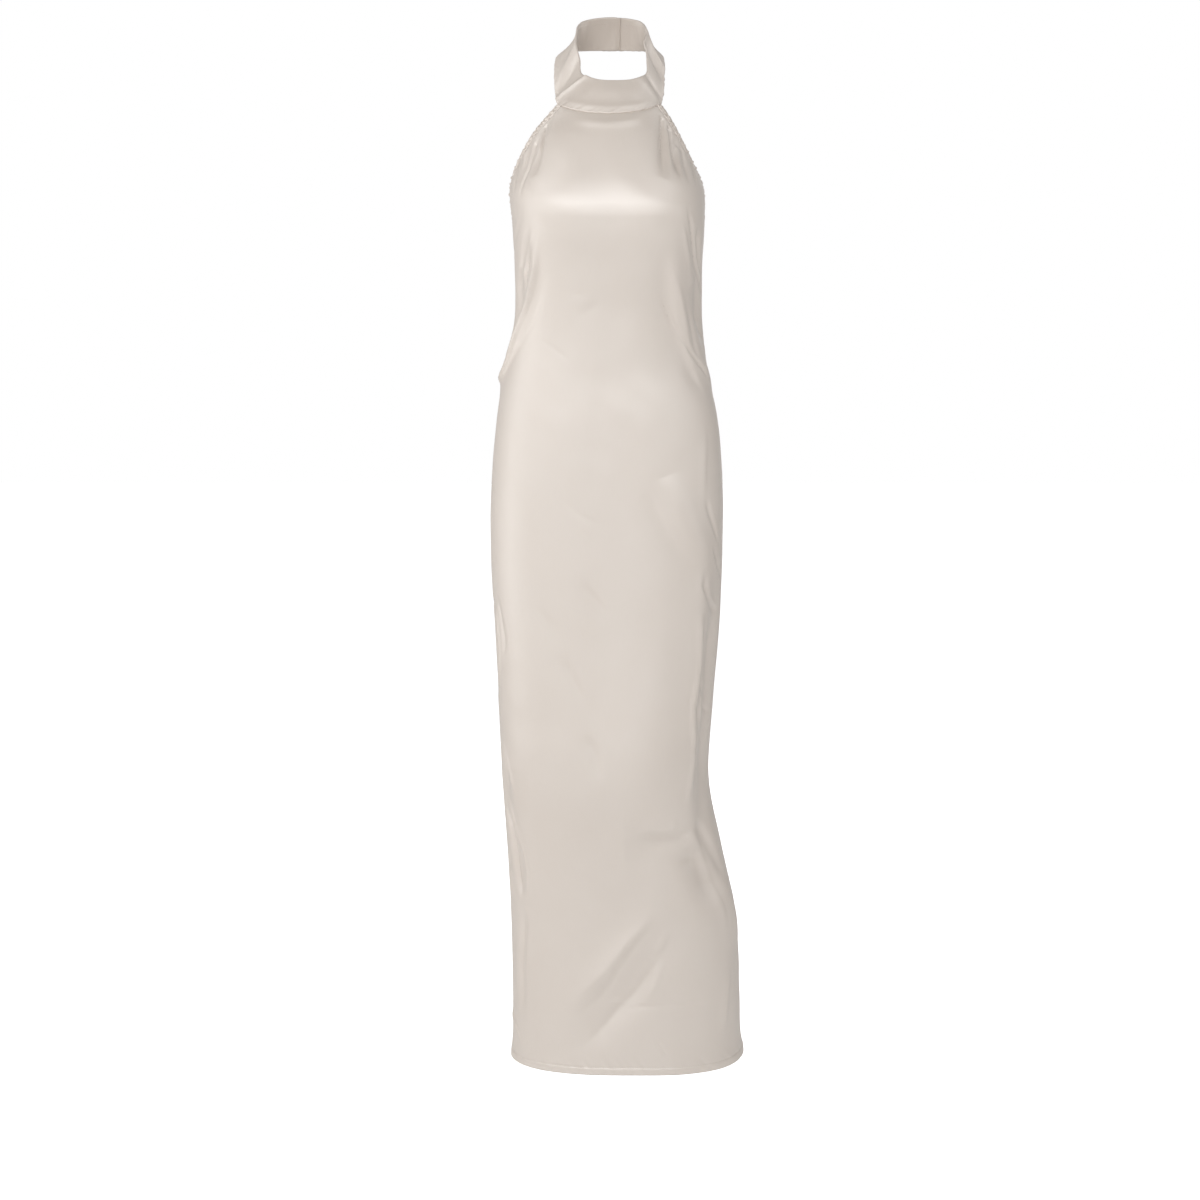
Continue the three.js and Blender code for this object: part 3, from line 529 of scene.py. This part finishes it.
def neckline_z(angle):
    share = np.minimum(1, np.abs(angle) / COLLAR_ANGLE)
    return COLLAR_Z - NECKLINE_DIP * np.cos(math.pi / 2 * share)


def scoop_z(angle):
    share = np.maximum(0, (np.abs(wrapped(angle)) - SEAM_ANGLE) / (180 - SEAM_ANGLE))
    return UNDERARM_Z + (SCOOP_Z - UNDERARM_Z) * np.sin(math.pi / 2 * share) ** SCOOP_ROUNDNESS


def inset(angle, z, slope, seam, blend, width):
    """Moves the points of an edge into the cloth by a width, as in the part's source."""
    square = unit(np.stack([slope[..., 1], -slope[..., 0]], axis=-1))
    direction = unit(mix(square, seam, blend[..., None]))
    length = width / np.sum(direction * square, axis=-1)
    return angle + degrees_for(direction[..., 0] * length, angle, z), z + direction[..., 1] * length


def armhole_edge(share, width):
    """Points of the armhole's edge, moved into the front panel by a width."""
    share = np.asarray(share, dtype=float)
    z = mix(COLLAR_Z, UNDERARM_Z, share)
    angle = armhole_at(z)["angle"]
    per_degree = 1 / degrees_for(1, angle, z)
    turn = (armhole_at(z - 0.001)["angle"] - armhole_at(z + 0.001)["angle"]) * per_degree
    slope = np.stack([turn, np.full(z.shape, -0.002)], axis=-1)
    near_collar = np.clip(1 - share / 0.2, 0, 1)
    near_seam = np.clip((share - 0.8) / 0.2, 0, 1)
    seam = np.where(near_collar[..., None] > 0, np.array([-1, -0.3]), np.array([0, -1.0]))
    return inset(angle, z, slope, seam, np.maximum(near_collar, near_seam), width)


def scoop_edge(angle, width):
    """Points of the scoop's edge, moved down into the back panel by a width."""
    angle = np.asarray(angle, dtype=float)
    z = scoop_z(angle)
    per_degree = 1 / degrees_for(1, angle, z)
    slope = np.stack([2 * per_degree, scoop_z(angle + 1) - scoop_z(angle - 1)], axis=-1)
    from_seam = np.minimum(angle - SEAM_ANGLE, 360 - SEAM_ANGLE - angle)
    blend = np.clip(1 - from_seam / 12, 0, 1)
    return inset(angle, z, slope, np.array([0, -1.0]), blend, width)


def normals_of(points):
    """Outward unit vectors of a grid whose rows run down and whose columns run to the viewer's right."""
    return unit(np.cross(np.gradient(points, axis=0), np.gradient(points, axis=1)))


def new_mesh(name, points, face_groups, material, uv=None, inside=None):
    mesh = bpy.data.meshes.new(name)
    mesh.from_pydata(points.tolist(), [], [face for group in face_groups for face in group.tolist()])
    mesh.polygons.foreach_set("use_smooth", [True] * len(mesh.polygons))
    if uv is not None:
        layer = mesh.uv_layers.new(name="cloth")
        corners = np.empty(len(mesh.loops), dtype=np.int32)
        mesh.loops.foreach_get("vertex_index", corners)
        layer.data.foreach_set("uv", uv[corners].ravel())
    if inside is not None:
        mesh.attributes.new("inside", "FLOAT", "POINT").data.foreach_set("value", inside)
    mesh.materials.append(material)
    mesh.update()
    piece = bpy.data.objects.new(name, mesh)
    bpy.context.scene.collection.objects.link(piece)
    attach(piece, "root")
    return piece


def rim_of(index):
    """Boundary of a grid of indices, once round."""
    return np.concatenate([index[0, :-1], index[:-1, -1], index[-1, :0:-1], index[:0:-1, 0]])


def shell(name, points, thickness, material, uv, step=1):
    """Closed thin cloth on a grid of outer points, with rounded edges and a coarser inner side.

    thickness is one number or a grid of them, uv is the grid's flat coordinates in metres, and step is how
    many outer squares one inner square spans."""
    rows, columns = points.shape[:2]
    normals = normals_of(points)
    thick = np.broadcast_to(np.asarray(thickness, dtype=float), (rows, columns))[..., None]
    inner = points - normals * thick
    count = rows * columns
    index = np.arange(count).reshape(rows, columns)
    coarse_rows, coarse_columns = inner[::step, ::step].shape[:2]
    coarse_count = coarse_rows * coarse_columns
    coarse = np.arange(coarse_count).reshape(coarse_rows, coarse_columns) + count
    outside = np.stack([index[:-1, :-1], index[1:, :-1], index[1:, 1:], index[:-1, 1:]], axis=-1)
    within = np.stack([coarse[:-1, :-1], coarse[:-1, 1:], coarse[1:, 1:], coarse[1:, :-1]], axis=-1)
    rim, coarse_rim = rim_of(index), rim_of(coarse)
    away = np.zeros_like(points)
    away[0] += unit(points[0] - points[1])
    away[-1] += unit(points[-1] - points[-2])
    away[:, 0] += unit(points[:, 0] - points[:, 1])
    away[:, -1] += unit(points[:, -1] - points[:, -2])
    flat_points = points.reshape(-1, 3)
    round_out = unit(away.reshape(-1, 3)[rim]) * thick.reshape(-1, 1)[rim] * 0.45
    edge = (flat_points[rim] + inner.reshape(-1, 3)[rim]) / 2 + round_out
    edge_index = count + coarse_count + np.arange(len(rim))
    first = np.stack([rim, np.roll(rim, -1), np.roll(edge_index, -1), edge_index], axis=-1)
    edge_runs = [np.roll(edge_index, -k)[::step] for k in range(step + 1)]
    second = np.stack([*edge_runs, np.roll(coarse_rim, -1), coarse_rim], axis=-1)
    every = np.concatenate([flat_points, inner[::step, ::step].reshape(-1, 3), edge])
    flat_uv = uv.reshape(-1, 2)
    every_uv = np.concatenate([flat_uv, uv[::step, ::step].reshape(-1, 2), flat_uv[rim]])
    inside = np.concatenate([np.zeros(count), np.ones(coarse_count), np.zeros(len(rim))])
    groups = [outside.reshape(-1, 4), within.reshape(-1, 4), first, second]
    return new_mesh(name, every, groups, material, every_uv, inside)


def crowded(count, crowding):
    """Places from -1 to 1 that crowd towards both ends."""
    even = np.linspace(-1, 1, count)
    return even + crowding / math.pi * np.sin(math.pi * even)


def hem_profile(level):
    """How far the turned-up hem stands proud at a level: a soft step, with a groove at its stitching."""
    above = level - HEM_Z
    step = 1 - smoothstep(above, HEM_WIDTH - 0.0015, HEM_WIDTH + 0.0005)
    groove = np.exp(-(((above - HEM_WIDTH + 0.001) / 0.0012) ** 2))
    return 0.0005 * step - 0.0005 * groove


def hem_puckers(angle, level, seed):
    """Small slanted puckers that the hem's stitching draws in the cloth."""
    above = np.maximum(0, level - HEM_Z)
    fade = np.exp(-(((above - HEM_WIDTH) / 0.010) ** 2))
    chance = np.random.default_rng(seed)
    ripple = np.zeros(np.shape(level))
    for length, phase, share in zip((0.011, 0.017, 0.026), chance.uniform(0, 6.28, 3), (0.4, 0.6, 0.6)):
        ripple += share * np.sin((angle * HEM_DEGREE_WIDTH + above * 0.8) * 2 * math.pi / length + phase)
    return 0.00030 * fade * ripple


def edge_puckers(along, off_edge, seed, height=0.0004, depth=0.012):
    """Ripples that an edge's stitching draws in the cloth, fading into the panel."""
    chance = np.random.default_rng(seed)
    ripple = np.zeros(np.broadcast(along, off_edge).shape)
    for length, share in zip((0.0085, 0.013, 0.021), (0.45, 0.6, 0.5)):
        drift = 0.25 * np.sin(along / 0.031 + chance.uniform(0, 6.28))
        ripple += share * np.sin(along * 2 * math.pi / length + drift * 4 + chance.uniform(0, 6.28))
    return height * ripple * np.exp(-((off_edge / depth) ** 2))


def raised(points, heights):
    return points + normals_of(points) * heights[..., None]


def hem_level(level, angle):
    """Height of a row of the skirt once the hem's rise is added."""
    return level + smoothstep(-level, -HEM_RISE_STARTS, -HEM_Z - HEM_WIDTH) * hem_rise_at(angle)["rise"]


def length_along(points, axis):
    steps = np.linalg.norm(np.diff(points, axis=axis), axis=-1)
    start = np.zeros_like(np.take(steps, [0], axis=axis))
    return np.concatenate([start, np.cumsum(steps, axis=axis)], axis=axis)


def flat_places(points):
    """Flat coordinates of a grid of points: across from its middle line, and down from its first row."""
    width = length_along(points, 1)
    return np.stack([width - width[:, -1:] / 2, -length_along(points, 0)], axis=-1)


def seam_dips(off_edge, off_top):
    """How far the cloth sinks right at the seams of its sides and of its first row."""
    return -0.0012 * np.exp(-((off_edge / 0.0021) ** 2)) - 0.0011 * np.exp(-((off_top / 0.0021) ** 2))


def panel_surface(angle, level, seed):
    """Points of a panel, its lengths down and across, the way to its nearer side edge, and its relief."""
    points = surface(angle, hem_level(level, angle), detail=True)
    along = length_along(points, 0)
    width = length_along(points, 1)
    off_edge = np.minimum(width, width[:, -1:] - width)
    heights = hem_profile(level) + hem_puckers(angle, level, seed) + seam_dips(off_edge, along)
    return points, along, width, off_edge, heights


def panel_shell(name, points, heights, level, material):
    points = raised(points, heights)
    thickness = CLOTH + 2 * np.maximum(0, hem_profile(level))
    return shell(name, points, thickness, material, flat_places(points), 2), points


def front_panel(material):
    share = np.linspace(0, 1, ARMHOLE_ROWS)
    arm_angle, arm_z = armhole_edge(share, TRIM_WIDTH + SEAM_GAP)
    side_z = np.linspace(arm_z[-1], HEM_ROWS_START, SIDE_ROWS + 1)[1:]
    low_z = np.linspace(HEM_ROWS_START, HEM_Z, HEM_ROWS + 1)[1:]
    below_z = np.concatenate([side_z, low_z])
    row_z = np.concatenate([arm_z, below_z])[:, None]
    row_angle = np.concatenate([arm_angle, np.full(below_z.shape, float(SEAM_ANGLE))])[:, None]
    widest = row_angle + degrees_for(SEAM_LAP, SEAM_ANGLE, row_z)
    angle = crowded(FRONT_COLUMNS + 1, 0.3)[None, :] * widest
    fade = np.maximum(0, 1 - (COLLAR_Z - row_z) / NECKLINE_FADE)
    level = row_z - fade * (neckline_z(row_angle) - neckline_z(angle))
    points, along, _, off_edge, heights = panel_surface(angle, level, 3)
    by_arm = 1 - smoothstep(-row_z, -UNDERARM_Z, -UNDERARM_Z + 0.02)
    heights += by_arm * edge_puckers(along[:, :1], off_edge, 5)
    heights += (1 - by_arm) * edge_puckers(along[:, :1], off_edge, 7, 0.00028, 0.007)
    return panel_shell("front_satin", points, heights, level, material)


def back_panel(material):
    columns = mix(SEAM_ANGLE, 360 - SEAM_ANGLE, (crowded(BACK_COLUMNS + 1, 0.25) + 1) / 2)
    start_angle, start_z = scoop_edge(columns, TRIM_WIDTH + SEAM_GAP)
    rows = BACK_ROWS - HEM_ROWS + 1
    share = np.concatenate([np.linspace(0, 1, rows) ** 1.15, np.ones(HEM_ROWS)])[:, None]
    low = np.concatenate([np.zeros(rows), np.linspace(0, 1, HEM_ROWS + 1)[1:]])[:, None]
    level = mix(start_z[None, :], HEM_ROWS_START, share) + low * (HEM_Z - HEM_ROWS_START)
    angle = mix(start_angle[None, :], columns[None, :], np.minimum(1, 3 * share))
    angle = np.clip(angle, SEAM_ANGLE, 360 - SEAM_ANGLE)
    points, along, width, off_edge, heights = panel_surface(angle, level, 4)
    heights += edge_puckers(along[:, :1], off_edge, 8, 0.00028, 0.007)
    heights += edge_puckers(width[:1], along, 9, 0.0004, 0.012)
    return panel_shell("back_satin", points, heights, level, material)


def band_surface(at, across):
    """Points on the outside of the collar band."""
    at, across = np.broadcast_arrays(np.asarray(at, dtype=float), np.asarray(across, dtype=float))
    row = band_at(at)
    low = np.stack([row["low_x"], row["low_y"], row["low_z"]], axis=-1)
    top = np.stack([row["top_x"], row["top_y"], row["top_z"]], axis=-1)
    sewn = surface(at, neckline_z(at))
    sewn = sewn + unit(top - sewn) * SEAM_GAP
    low = np.where((np.abs(at) <= COLLAR_ANGLE)[..., None], sewn, low)
    point = mix(low, top, across[..., None])
    outward = unit(point * np.array([1, 1, 0]))
    return point + outward * (row["bulge"] * np.sin(math.pi * across))[..., None]


def neck_band(material):
    at = np.linspace(BAND[0][1], BAND[-1][1], BAND_STEPS + 1)[None, :]
    across = ((1 - crowded(BAND_ROWS + 1, 0.5)) / 2)[:, None]
    points = band_surface(at, across)
    width = length_along(points, 1)
    along = length_along(points, 0)
    per_degree = width[:, -1:] / (BAND[-1][1] - BAND[0][1])
    heights = np.zeros(points.shape[:2])
    for name, at0, c0, at1, c1, wide, height, sharp in in_metres(BAND_CREASE_COLUMNS, BAND_CREASES):
        start, stop = (at0, c0 * BAND_WIDTH), (at1, c1 * BAND_WIDTH)
        share, beside = line_place(at, across * BAND_WIDTH, per_degree, *start, *stop)
        inside = np.clip(share, 0, 1)
        taper = np.sin(math.pi * mix(0.12, 0.88, inside)) ** 0.6 * np.exp(-(((share - inside) * 6) ** 2))
        profile = np.exp(-np.abs(beside / wide)) if sharp else np.exp(-((beside / wide) ** 2))
        heights += height * taper * profile
    heights += edge_puckers(width, along[-1:] - along, 12, 0.00022, 0.006)
    heights += soft_waves(at / 2, across * BAND_WIDTH, 21, 0.00012, 0.05, 0.018)
    points = raised(points, heights)
    off_end = np.minimum(width, width[:, -1:] - width)
    thickness = BAND_CLOTH * mix(0.3, 1, smoothstep(off_end, 0, 0.007))
    uv = np.stack([width, -along], axis=-1)
    return shell("band_satin", points, thickness, material, uv), points


def trim_heights(along, place, seed):
    """Relief of a narrow folded trim: two grooves of stitching with slanted puckers between them.

    place runs across it from 0 at the free edge to 1."""
    chance = np.random.default_rng(seed)
    grooves = sum(np.exp(-(((place - at) / 0.09) ** 2)) for at in (0.2, 0.84))
    ripple = np.zeros(np.broadcast(along, place).shape)
    for length, lean in zip((0.0052, 0.0083, 0.0125), (0.55, 0.35, 0.5)):
        phase = chance.uniform(0, 6.28)
        ripple += np.sin((along + lean * place * TRIM_WIDTH) * 2 * math.pi / length + phase) / 3
    between = np.sin(math.pi * np.clip((place - 0.05) / 0.9, 0, 1))
    return 0.00045 * between - 0.00090 * grooves + 0.00150 * ripple * (0.3 + 0.7 * between)


def armhole_trim(side, material):
    name = "left" if side < 0 else "right"
    share = np.linspace(0, 1, TRIM_STEPS + 1)
    outer_angle, outer_z = armhole_edge(share, 0.0)
    inner_angle, inner_z = armhole_edge(share, TRIM_WIDTH)
    place = (crowded(TRIM_ROWS + 1, 0.4)[None, :] + 1) / 2
    angle = mix(outer_angle[:, None], inner_angle[:, None], place)
    z = mix(outer_z[:, None], inner_z[:, None], place)
    half_gap = degrees_for(SEAM_GAP / 2, SEAM_ANGLE, z)
    angle = side * np.minimum(angle, SEAM_ANGLE - half_gap)
    if side > 0:
        angle, z, place = angle[:, ::-1], z[:, ::-1], place[:, ::-1]
    points = surface(angle, z, detail=True)
    along = length_along(points, 0)
    points = raised(points, TRIM_LIFT + trim_heights(along[:, :1], place, 31 + side))
    uv = np.stack([length_along(points, 1), -along], axis=-1)
    return shell(f"armhole_trim_satin_{name}", points, TRIM_CLOTH, material, uv), points


def scoop_trim(material):
    columns = np.linspace(SEAM_ANGLE, 360 - SEAM_ANGLE, SCOOP_STEPS + 1)
    place = ((crowded(TRIM_ROWS + 1, 0.4) + 1) / 2)[:, None]
    rows = [scoop_edge(columns, width) for width in place[:, 0] * TRIM_WIDTH]
    angle = np.stack([row[0] for row in rows])
    z = np.stack([row[1] for row in rows])
    half_gap = degrees_for(SEAM_GAP / 2, SEAM_ANGLE, z)
    angle = np.clip(angle, SEAM_ANGLE + half_gap, 360 - SEAM_ANGLE - half_gap)
    points = surface(angle, z, detail=True)
    width = length_along(points, 1)
    points = raised(points, TRIM_LIFT + trim_heights(width[:1], place, 41))
    uv = np.stack([width, -length_along(points, 0)], axis=-1)
    return shell("scoop_trim_satin", points, TRIM_CLOTH, material, uv), points


def covered_button(name, at, across, material):
    """A low dome with the cloth drawn in small pleats under its rim, on the over end of the band."""
    base = band_surface(at, across)
    outward = unit(np.array([base[0], base[1], 0.0]))
    side = np.cross(np.array([0.0, 0.0, 1.0]), outward)
    base = base + outward * 0.0004
    turn = np.linspace(0, 2 * math.pi, 73)[:-1]
    rings = np.linspace(0, 0.48 * math.pi, 13)
    radius = np.concatenate([[0.90], np.cos(rings)])[:, None] * BUTTON_RADIUS
    height = np.concatenate([[0.0], 0.35 + 0.65 * np.sin(rings)])[:, None] * BUTTON_HEIGHT
    pleats = 1 + 0.012 * np.sin(18 * turn)[None, :] * np.clip(1 - height / BUTTON_HEIGHT, 0, 1) ** 0.5
    x = radius * pleats * np.cos(turn)[None, :]
    y = radius * pleats * np.sin(turn)[None, :]
    height = np.broadcast_to(height, x.shape)
    points = base + x[..., None] * side + y[..., None] * np.array([0, 0, 1.0]) + height[..., None] * outward
    index = np.arange(x.size).reshape(x.shape)
    following = np.roll(index, -1, axis=1)
    walls = np.stack([index[:-1], following[:-1], following[1:], index[1:]], axis=-1).reshape(-1, 4)
    uv = np.stack([x, y], axis=-1).reshape(-1, 2)
    groups = [walls, index[:1, ::-1], index[-1:]]
    return new_mesh(name, points.reshape(-1, 3), groups, material, uv, np.zeros(index.size))


def stitches(name, path, normals, material, lift=0.00008):
    """Row of short thread stitches along a path on the cloth."""
    length = length_along(path, 0)
    count = int(length[-1] / (STITCH_LENGTH + STITCH_GAP))
    places = np.array([-1, -0.75, 0, 0.75, 1])
    sizes = np.array([0.25, 0.8, 1.0, 0.8, 0.25])
    sinks = np.array([0.9, 0.25, 0.0, 0.25, 0.9])
    at = (np.arange(count)[:, None] + 0.5) * length[-1] / count + places * STITCH_LENGTH / 2

    def along(values, where):
        return np.stack([np.interp(where, length, values[:, k]) for k in range(3)], axis=-1)

    normal = unit(along(normals, at))
    tangent = unit(along(path, at + 0.0004) - along(path, at - 0.0004))
    beside = np.cross(normal, tangent)
    centre = along(path, at) + normal * (lift + STITCH_RADIUS * (0.6 - 1.2 * sinks))[:, None]
    turn = 2 * math.pi * np.arange(6) / 6
    offset = beside[..., None, :] * np.cos(turn)[:, None] + normal[..., None, :] * np.sin(turn)[:, None]
    points = centre[..., None, :] + offset * (STITCH_RADIUS * sizes)[:, None, None]
    index = np.arange(points[..., 0].size).reshape(points.shape[:3])
    following = np.roll(index, -1, axis=2)
    walls = np.stack([index[:, :-1], following[:, :-1], following[:, 1:], index[:, 1:]], axis=-1)
    groups = [walls.reshape(-1, 4), index[:, 0, ::-1], index[:, -1]]
    return new_mesh(name, points.reshape(-1, 3), groups, material)


def set_inputs(tree, node, inputs):
    """Gives each input of a node its value, or a link where the value is an output of another node."""
    for name, value in inputs.items():
        if isinstance(value, bpy.types.NodeSocket):
            tree.links.new(value, node.inputs[name])
        else:
            node.inputs[name].default_value = value
    return node


def new_material(name):
    material = bpy.data.materials.new(name)
    material.use_nodes = True
    return material, material.node_tree


def mixed(tree, factor, first, second):
    """Colour between two others, each a value or another node's output."""
    blend = tree.nodes.new("ShaderNodeMix")
    blend.data_type = "RGBA"
    return set_inputs(tree, blend, {"Factor": factor, "A": first, "B": second}).outputs["Result"]


def satin(name, colour, shade, roughness):
    """Satin: a soft gloss that spreads sideways, faint warp and weft, uneven dye, and a duller inside."""
    material, tree = new_material(name)
    nodes = tree.nodes
    flat_place = nodes.new("ShaderNodeTexCoord").outputs["UV"]

    def stretched_noise(scale, detail):
        mapping = set_inputs(tree, nodes.new("ShaderNodeMapping"), {"Scale": scale, "Vector": flat_place})
        inputs = {"Scale": 1.0, "Detail": detail, "Vector": mapping.outputs["Vector"]}
        return set_inputs(tree, nodes.new("ShaderNodeTexNoise"), inputs).outputs["Fac"]

    def ramp(source, low, high, first, second):
        inputs = {"Value": source, "From Min": low, "From Max": high, "To Min": first, "To Max": second}
        return set_inputs(tree, nodes.new("ShaderNodeMapRange"), inputs).outputs["Result"]

    def added(first, second):
        total = nodes.new("ShaderNodeMath")
        total.operation = "ADD"
        return set_inputs(tree, total, {0: first, 1: second}).outputs["Value"]

    warp = stretched_noise((1600, 60, 1), 3)
    weft = stretched_noise((90, 2200, 1), 2)
    cloudy = stretched_noise((14, 9, 1), 3)
    attribute = nodes.new("ShaderNodeAttribute")
    attribute.attribute_name = "inside"
    inside = attribute.outputs["Fac"]
    tone = added(ramp(warp, 0.3, 0.7, 0.0, 0.25), ramp(cloudy, 0.3, 0.7, 0.0, 0.6))
    dyed = mixed(tree, tone, (*colour, 1), (*shade, 1))
    duller = (*(0.92 * c for c in shade), 1)
    rough = ramp(warp, 0.3, 0.7, roughness - 0.02, roughness + 0.03)
    weave = {"Strength": 0.05, "Distance": 0.0003, "Height": added(warp, weft)}
    set_inputs(tree, nodes["Principled BSDF"], {
        "Anisotropic": 0.75,
        "IOR": 2.2,
        "Specular IOR Level": 1.0,
        "Sheen Weight": 0.10,
        "Sheen Roughness": 0.45,
        "Base Color": mixed(tree, inside, dyed, duller),
        "Roughness": added(rough, ramp(inside, 0, 1, 0, 0.2)),
        "Normal": set_inputs(tree, nodes.new("ShaderNodeBump"), weave).outputs["Normal"],
    })
    return material


def thread(name, colour):
    material, tree = new_material(name)
    place = tree.nodes.new("ShaderNodeTexCoord").outputs["Object"]
    noise = set_inputs(tree, tree.nodes.new("ShaderNodeTexNoise"), {"Scale": 2500, "Vector": place})
    darker = (*(0.8 * c for c in colour), 1)
    tone = mixed(tree, noise.outputs["Fac"], (*colour, 1), darker)
    inputs = {"Sheen Weight": 0.3, "Roughness": 0.55, "Base Color": tone}
    set_inputs(tree, tree.nodes["Principled BSDF"], inputs)
    return material


def camera():
    data = bpy.data.cameras.new("camera")
    data.lens = CAMERA_LENS
    data.sensor_width = 36
    data.clip_end = 60
    view = bpy.data.objects.new("camera", data)
    view.location = CAMERA_PLACE
    view.rotation_euler = (math.pi / 2 - CAMERA_DOWN, 0, 0)
    bpy.context.scene.collection.objects.link(view)
    bpy.context.scene.camera = view


def area_light(name, place, target, size, power):
    data = bpy.data.lights.new(name, "AREA")
    data.shape = "RECTANGLE"
    data.size, data.size_y = size
    data.energy = power
    light = bpy.data.objects.new(name, data)
    light.location = place
    light.visible_camera = False
    direction = Vector(target) - Vector(place)
    light.rotation_euler = direction.to_track_quat("-Z", "Y").to_euler()
    bpy.context.scene.collection.objects.link(light)


def white_world():
    """A white surround: bright where the camera sees it, and weaker as a light on the dress."""
    world = bpy.data.worlds.new("studio")
    world.use_nodes = True
    bpy.context.scene.world = world
    tree = world.node_tree
    lit = set_inputs(tree, tree.nodes["Background"], {"Color": WHITE, "Strength": 0.34})
    seen = set_inputs(tree, tree.nodes.new("ShaderNodeBackground"), {"Color": WHITE})
    is_seen = tree.nodes.new("ShaderNodeLightPath").outputs["Is Camera Ray"]
    inputs = {"Fac": is_seen, 1: lit.outputs["Background"], 2: seen.outputs["Background"]}
    mixing = set_inputs(tree, tree.nodes.new("ShaderNodeMixShader"), inputs)
    set_inputs(tree, tree.nodes["World Output"], {"Surface": mixing.outputs["Shader"]})


def floor():
    mesh = bpy.data.meshes.new("floor")
    sides = [(-1, -1), (1, -1), (1, 1), (-1, 1)]
    corners = [(x * FLOOR_HALF, y * FLOOR_HALF, FLOOR_Z) for x, y in sides]
    mesh.from_pydata(corners, [], [(0, 1, 2, 3)])
    stage = bpy.data.objects.new("floor", mesh)
    bpy.context.scene.collection.objects.link(stage)
    white, tree = new_material("floor_white")
    is_seen = tree.nodes.new("ShaderNodeLightPath").outputs["Is Camera Ray"]
    glow = {"Value": is_seen, "To Min": 0.05, "To Max": 0.85}
    set_inputs(tree, tree.nodes["Principled BSDF"], {
        "Base Color": (0.9, 0.9, 0.9, 1),
        "Roughness": 0.9,
        "Emission Color": WHITE,
        "Emission Strength": set_inputs(tree, tree.nodes.new("ShaderNodeMapRange"), glow).outputs["Result"],
    })
    mesh.materials.append(white)


def studio():
    white_world()
    floor()
    area_light("upper front", (-0.4, -3.9, 0.85), (0, 0, -0.3), (4.4, 1.4), 62)
    area_light("lower front", (-0.4, -3.9, -1.0), (0, 0, -0.6), (3.2, 0.7), 11)
    area_light("top left", (-1.9, -1.2, 1.5), (0, 0, -0.2), (1.2, 1.2), 11)
    area_light("top right", (1.7, -1.4, 1.5), (0, 0, -0.2), (1.2, 1.2), 8)
    area_light("left side", (-1.7, -0.4, -0.4), (0, 0, -0.4), (0.8, 1.6), 8.5)
    area_light("right side", (1.9, -0.9, -0.3), (0, 0, -0.3), (0.8, 1.4), 3)
    area_light("behind", (0.5, 3.6, -0.2), (0, 0, -0.6), (1.8, 1.8), 30)
    bpy.context.scene.view_settings.view_transform = "Standard"


camera()
studio()

SATIN_COLOUR = (0.665, 0.580, 0.503)
SATIN_SHADE = (0.635, 0.545, 0.465)
satin_cloth = satin("champagne_satin", SATIN_COLOUR, SATIN_SHADE, 0.46)
satin_trim = satin("champagne_satin_trim", SATIN_COLOUR, SATIN_SHADE, 0.44)
satin_button = satin("champagne_satin_button", SATIN_COLOUR, SATIN_SHADE, 0.44)
satin_thread = thread("satin_thread", (0.70, 0.62, 0.55))

front, front_points = front_panel(satin_cloth)
back, back_points = back_panel(satin_cloth)
band, band_points = neck_band(satin_cloth)
left_trim, left_trim_points = armhole_trim(-1, satin_trim)
right_trim, right_trim_points = armhole_trim(1, satin_trim)
back_trim, back_trim_points = scoop_trim(satin_trim)

# Every cloth piece, with its grid of points, the solid it replaces, its slot, how it is held and what it
# rests on.
# The loop hides each solid.
SHEETS = [
    (front, front_points, "front_panel", "satin", "hung", "band_satin"),
    (back, back_points, "back_panel", "satin", "hung", "front_satin"),
    (band, band_points, "neck_band", "satin", "folded", "front_satin"),
    (left_trim, left_trim_points, "armhole_trim_left", "satin_trim", "folded", "front_satin"),
    (right_trim, right_trim_points, "armhole_trim_right", "satin_trim", "folded", "front_satin"),
    (back_trim, back_trim_points, "back_scoop_trim", "satin_trim", "folded", "back_satin"),
]
for piece, points, node, slot, held, rests_on in SHEETS:
    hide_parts(node)

for name, across in (("upper", 0.68), ("lower", 0.30)):
    button = covered_button(f"covered_button_{name}", 180.0, across, satin_button)
    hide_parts(f"neck_button_{name}")

# Sewing: two rows on each trim, one on the hem, and the row inside the band that holds its facing.
# Each is a row or a column of a piece's grid.
WHOLE = slice(None)
SEWN = [
    ("left_armhole_outer", left_trim_points, (WHOLE, 3)),
    ("left_armhole_inner", left_trim_points, (WHOLE, 10)),
    ("right_armhole_outer", right_trim_points, (WHOLE, -4)),
    ("right_armhole_inner", right_trim_points, (WHOLE, 2)),
    ("scoop_outer", back_trim_points, 3),
    ("scoop_inner", back_trim_points, 10),
    ("hem_front", front_points, -12),
    ("hem_back", back_points, -12),
]
band_normals = normals_of(band_points)
facing = band_points - BAND_CLOTH * band_normals
rows = [(name, points[place], normals_of(points)[place]) for name, points, place in SEWN]
rows.append(("band_facing", facing[8, 18:330], -band_normals[8, 18:330]))
for name, path, normals in rows:
    row = stitches(f"stitches_{name}", path, normals, satin_thread)
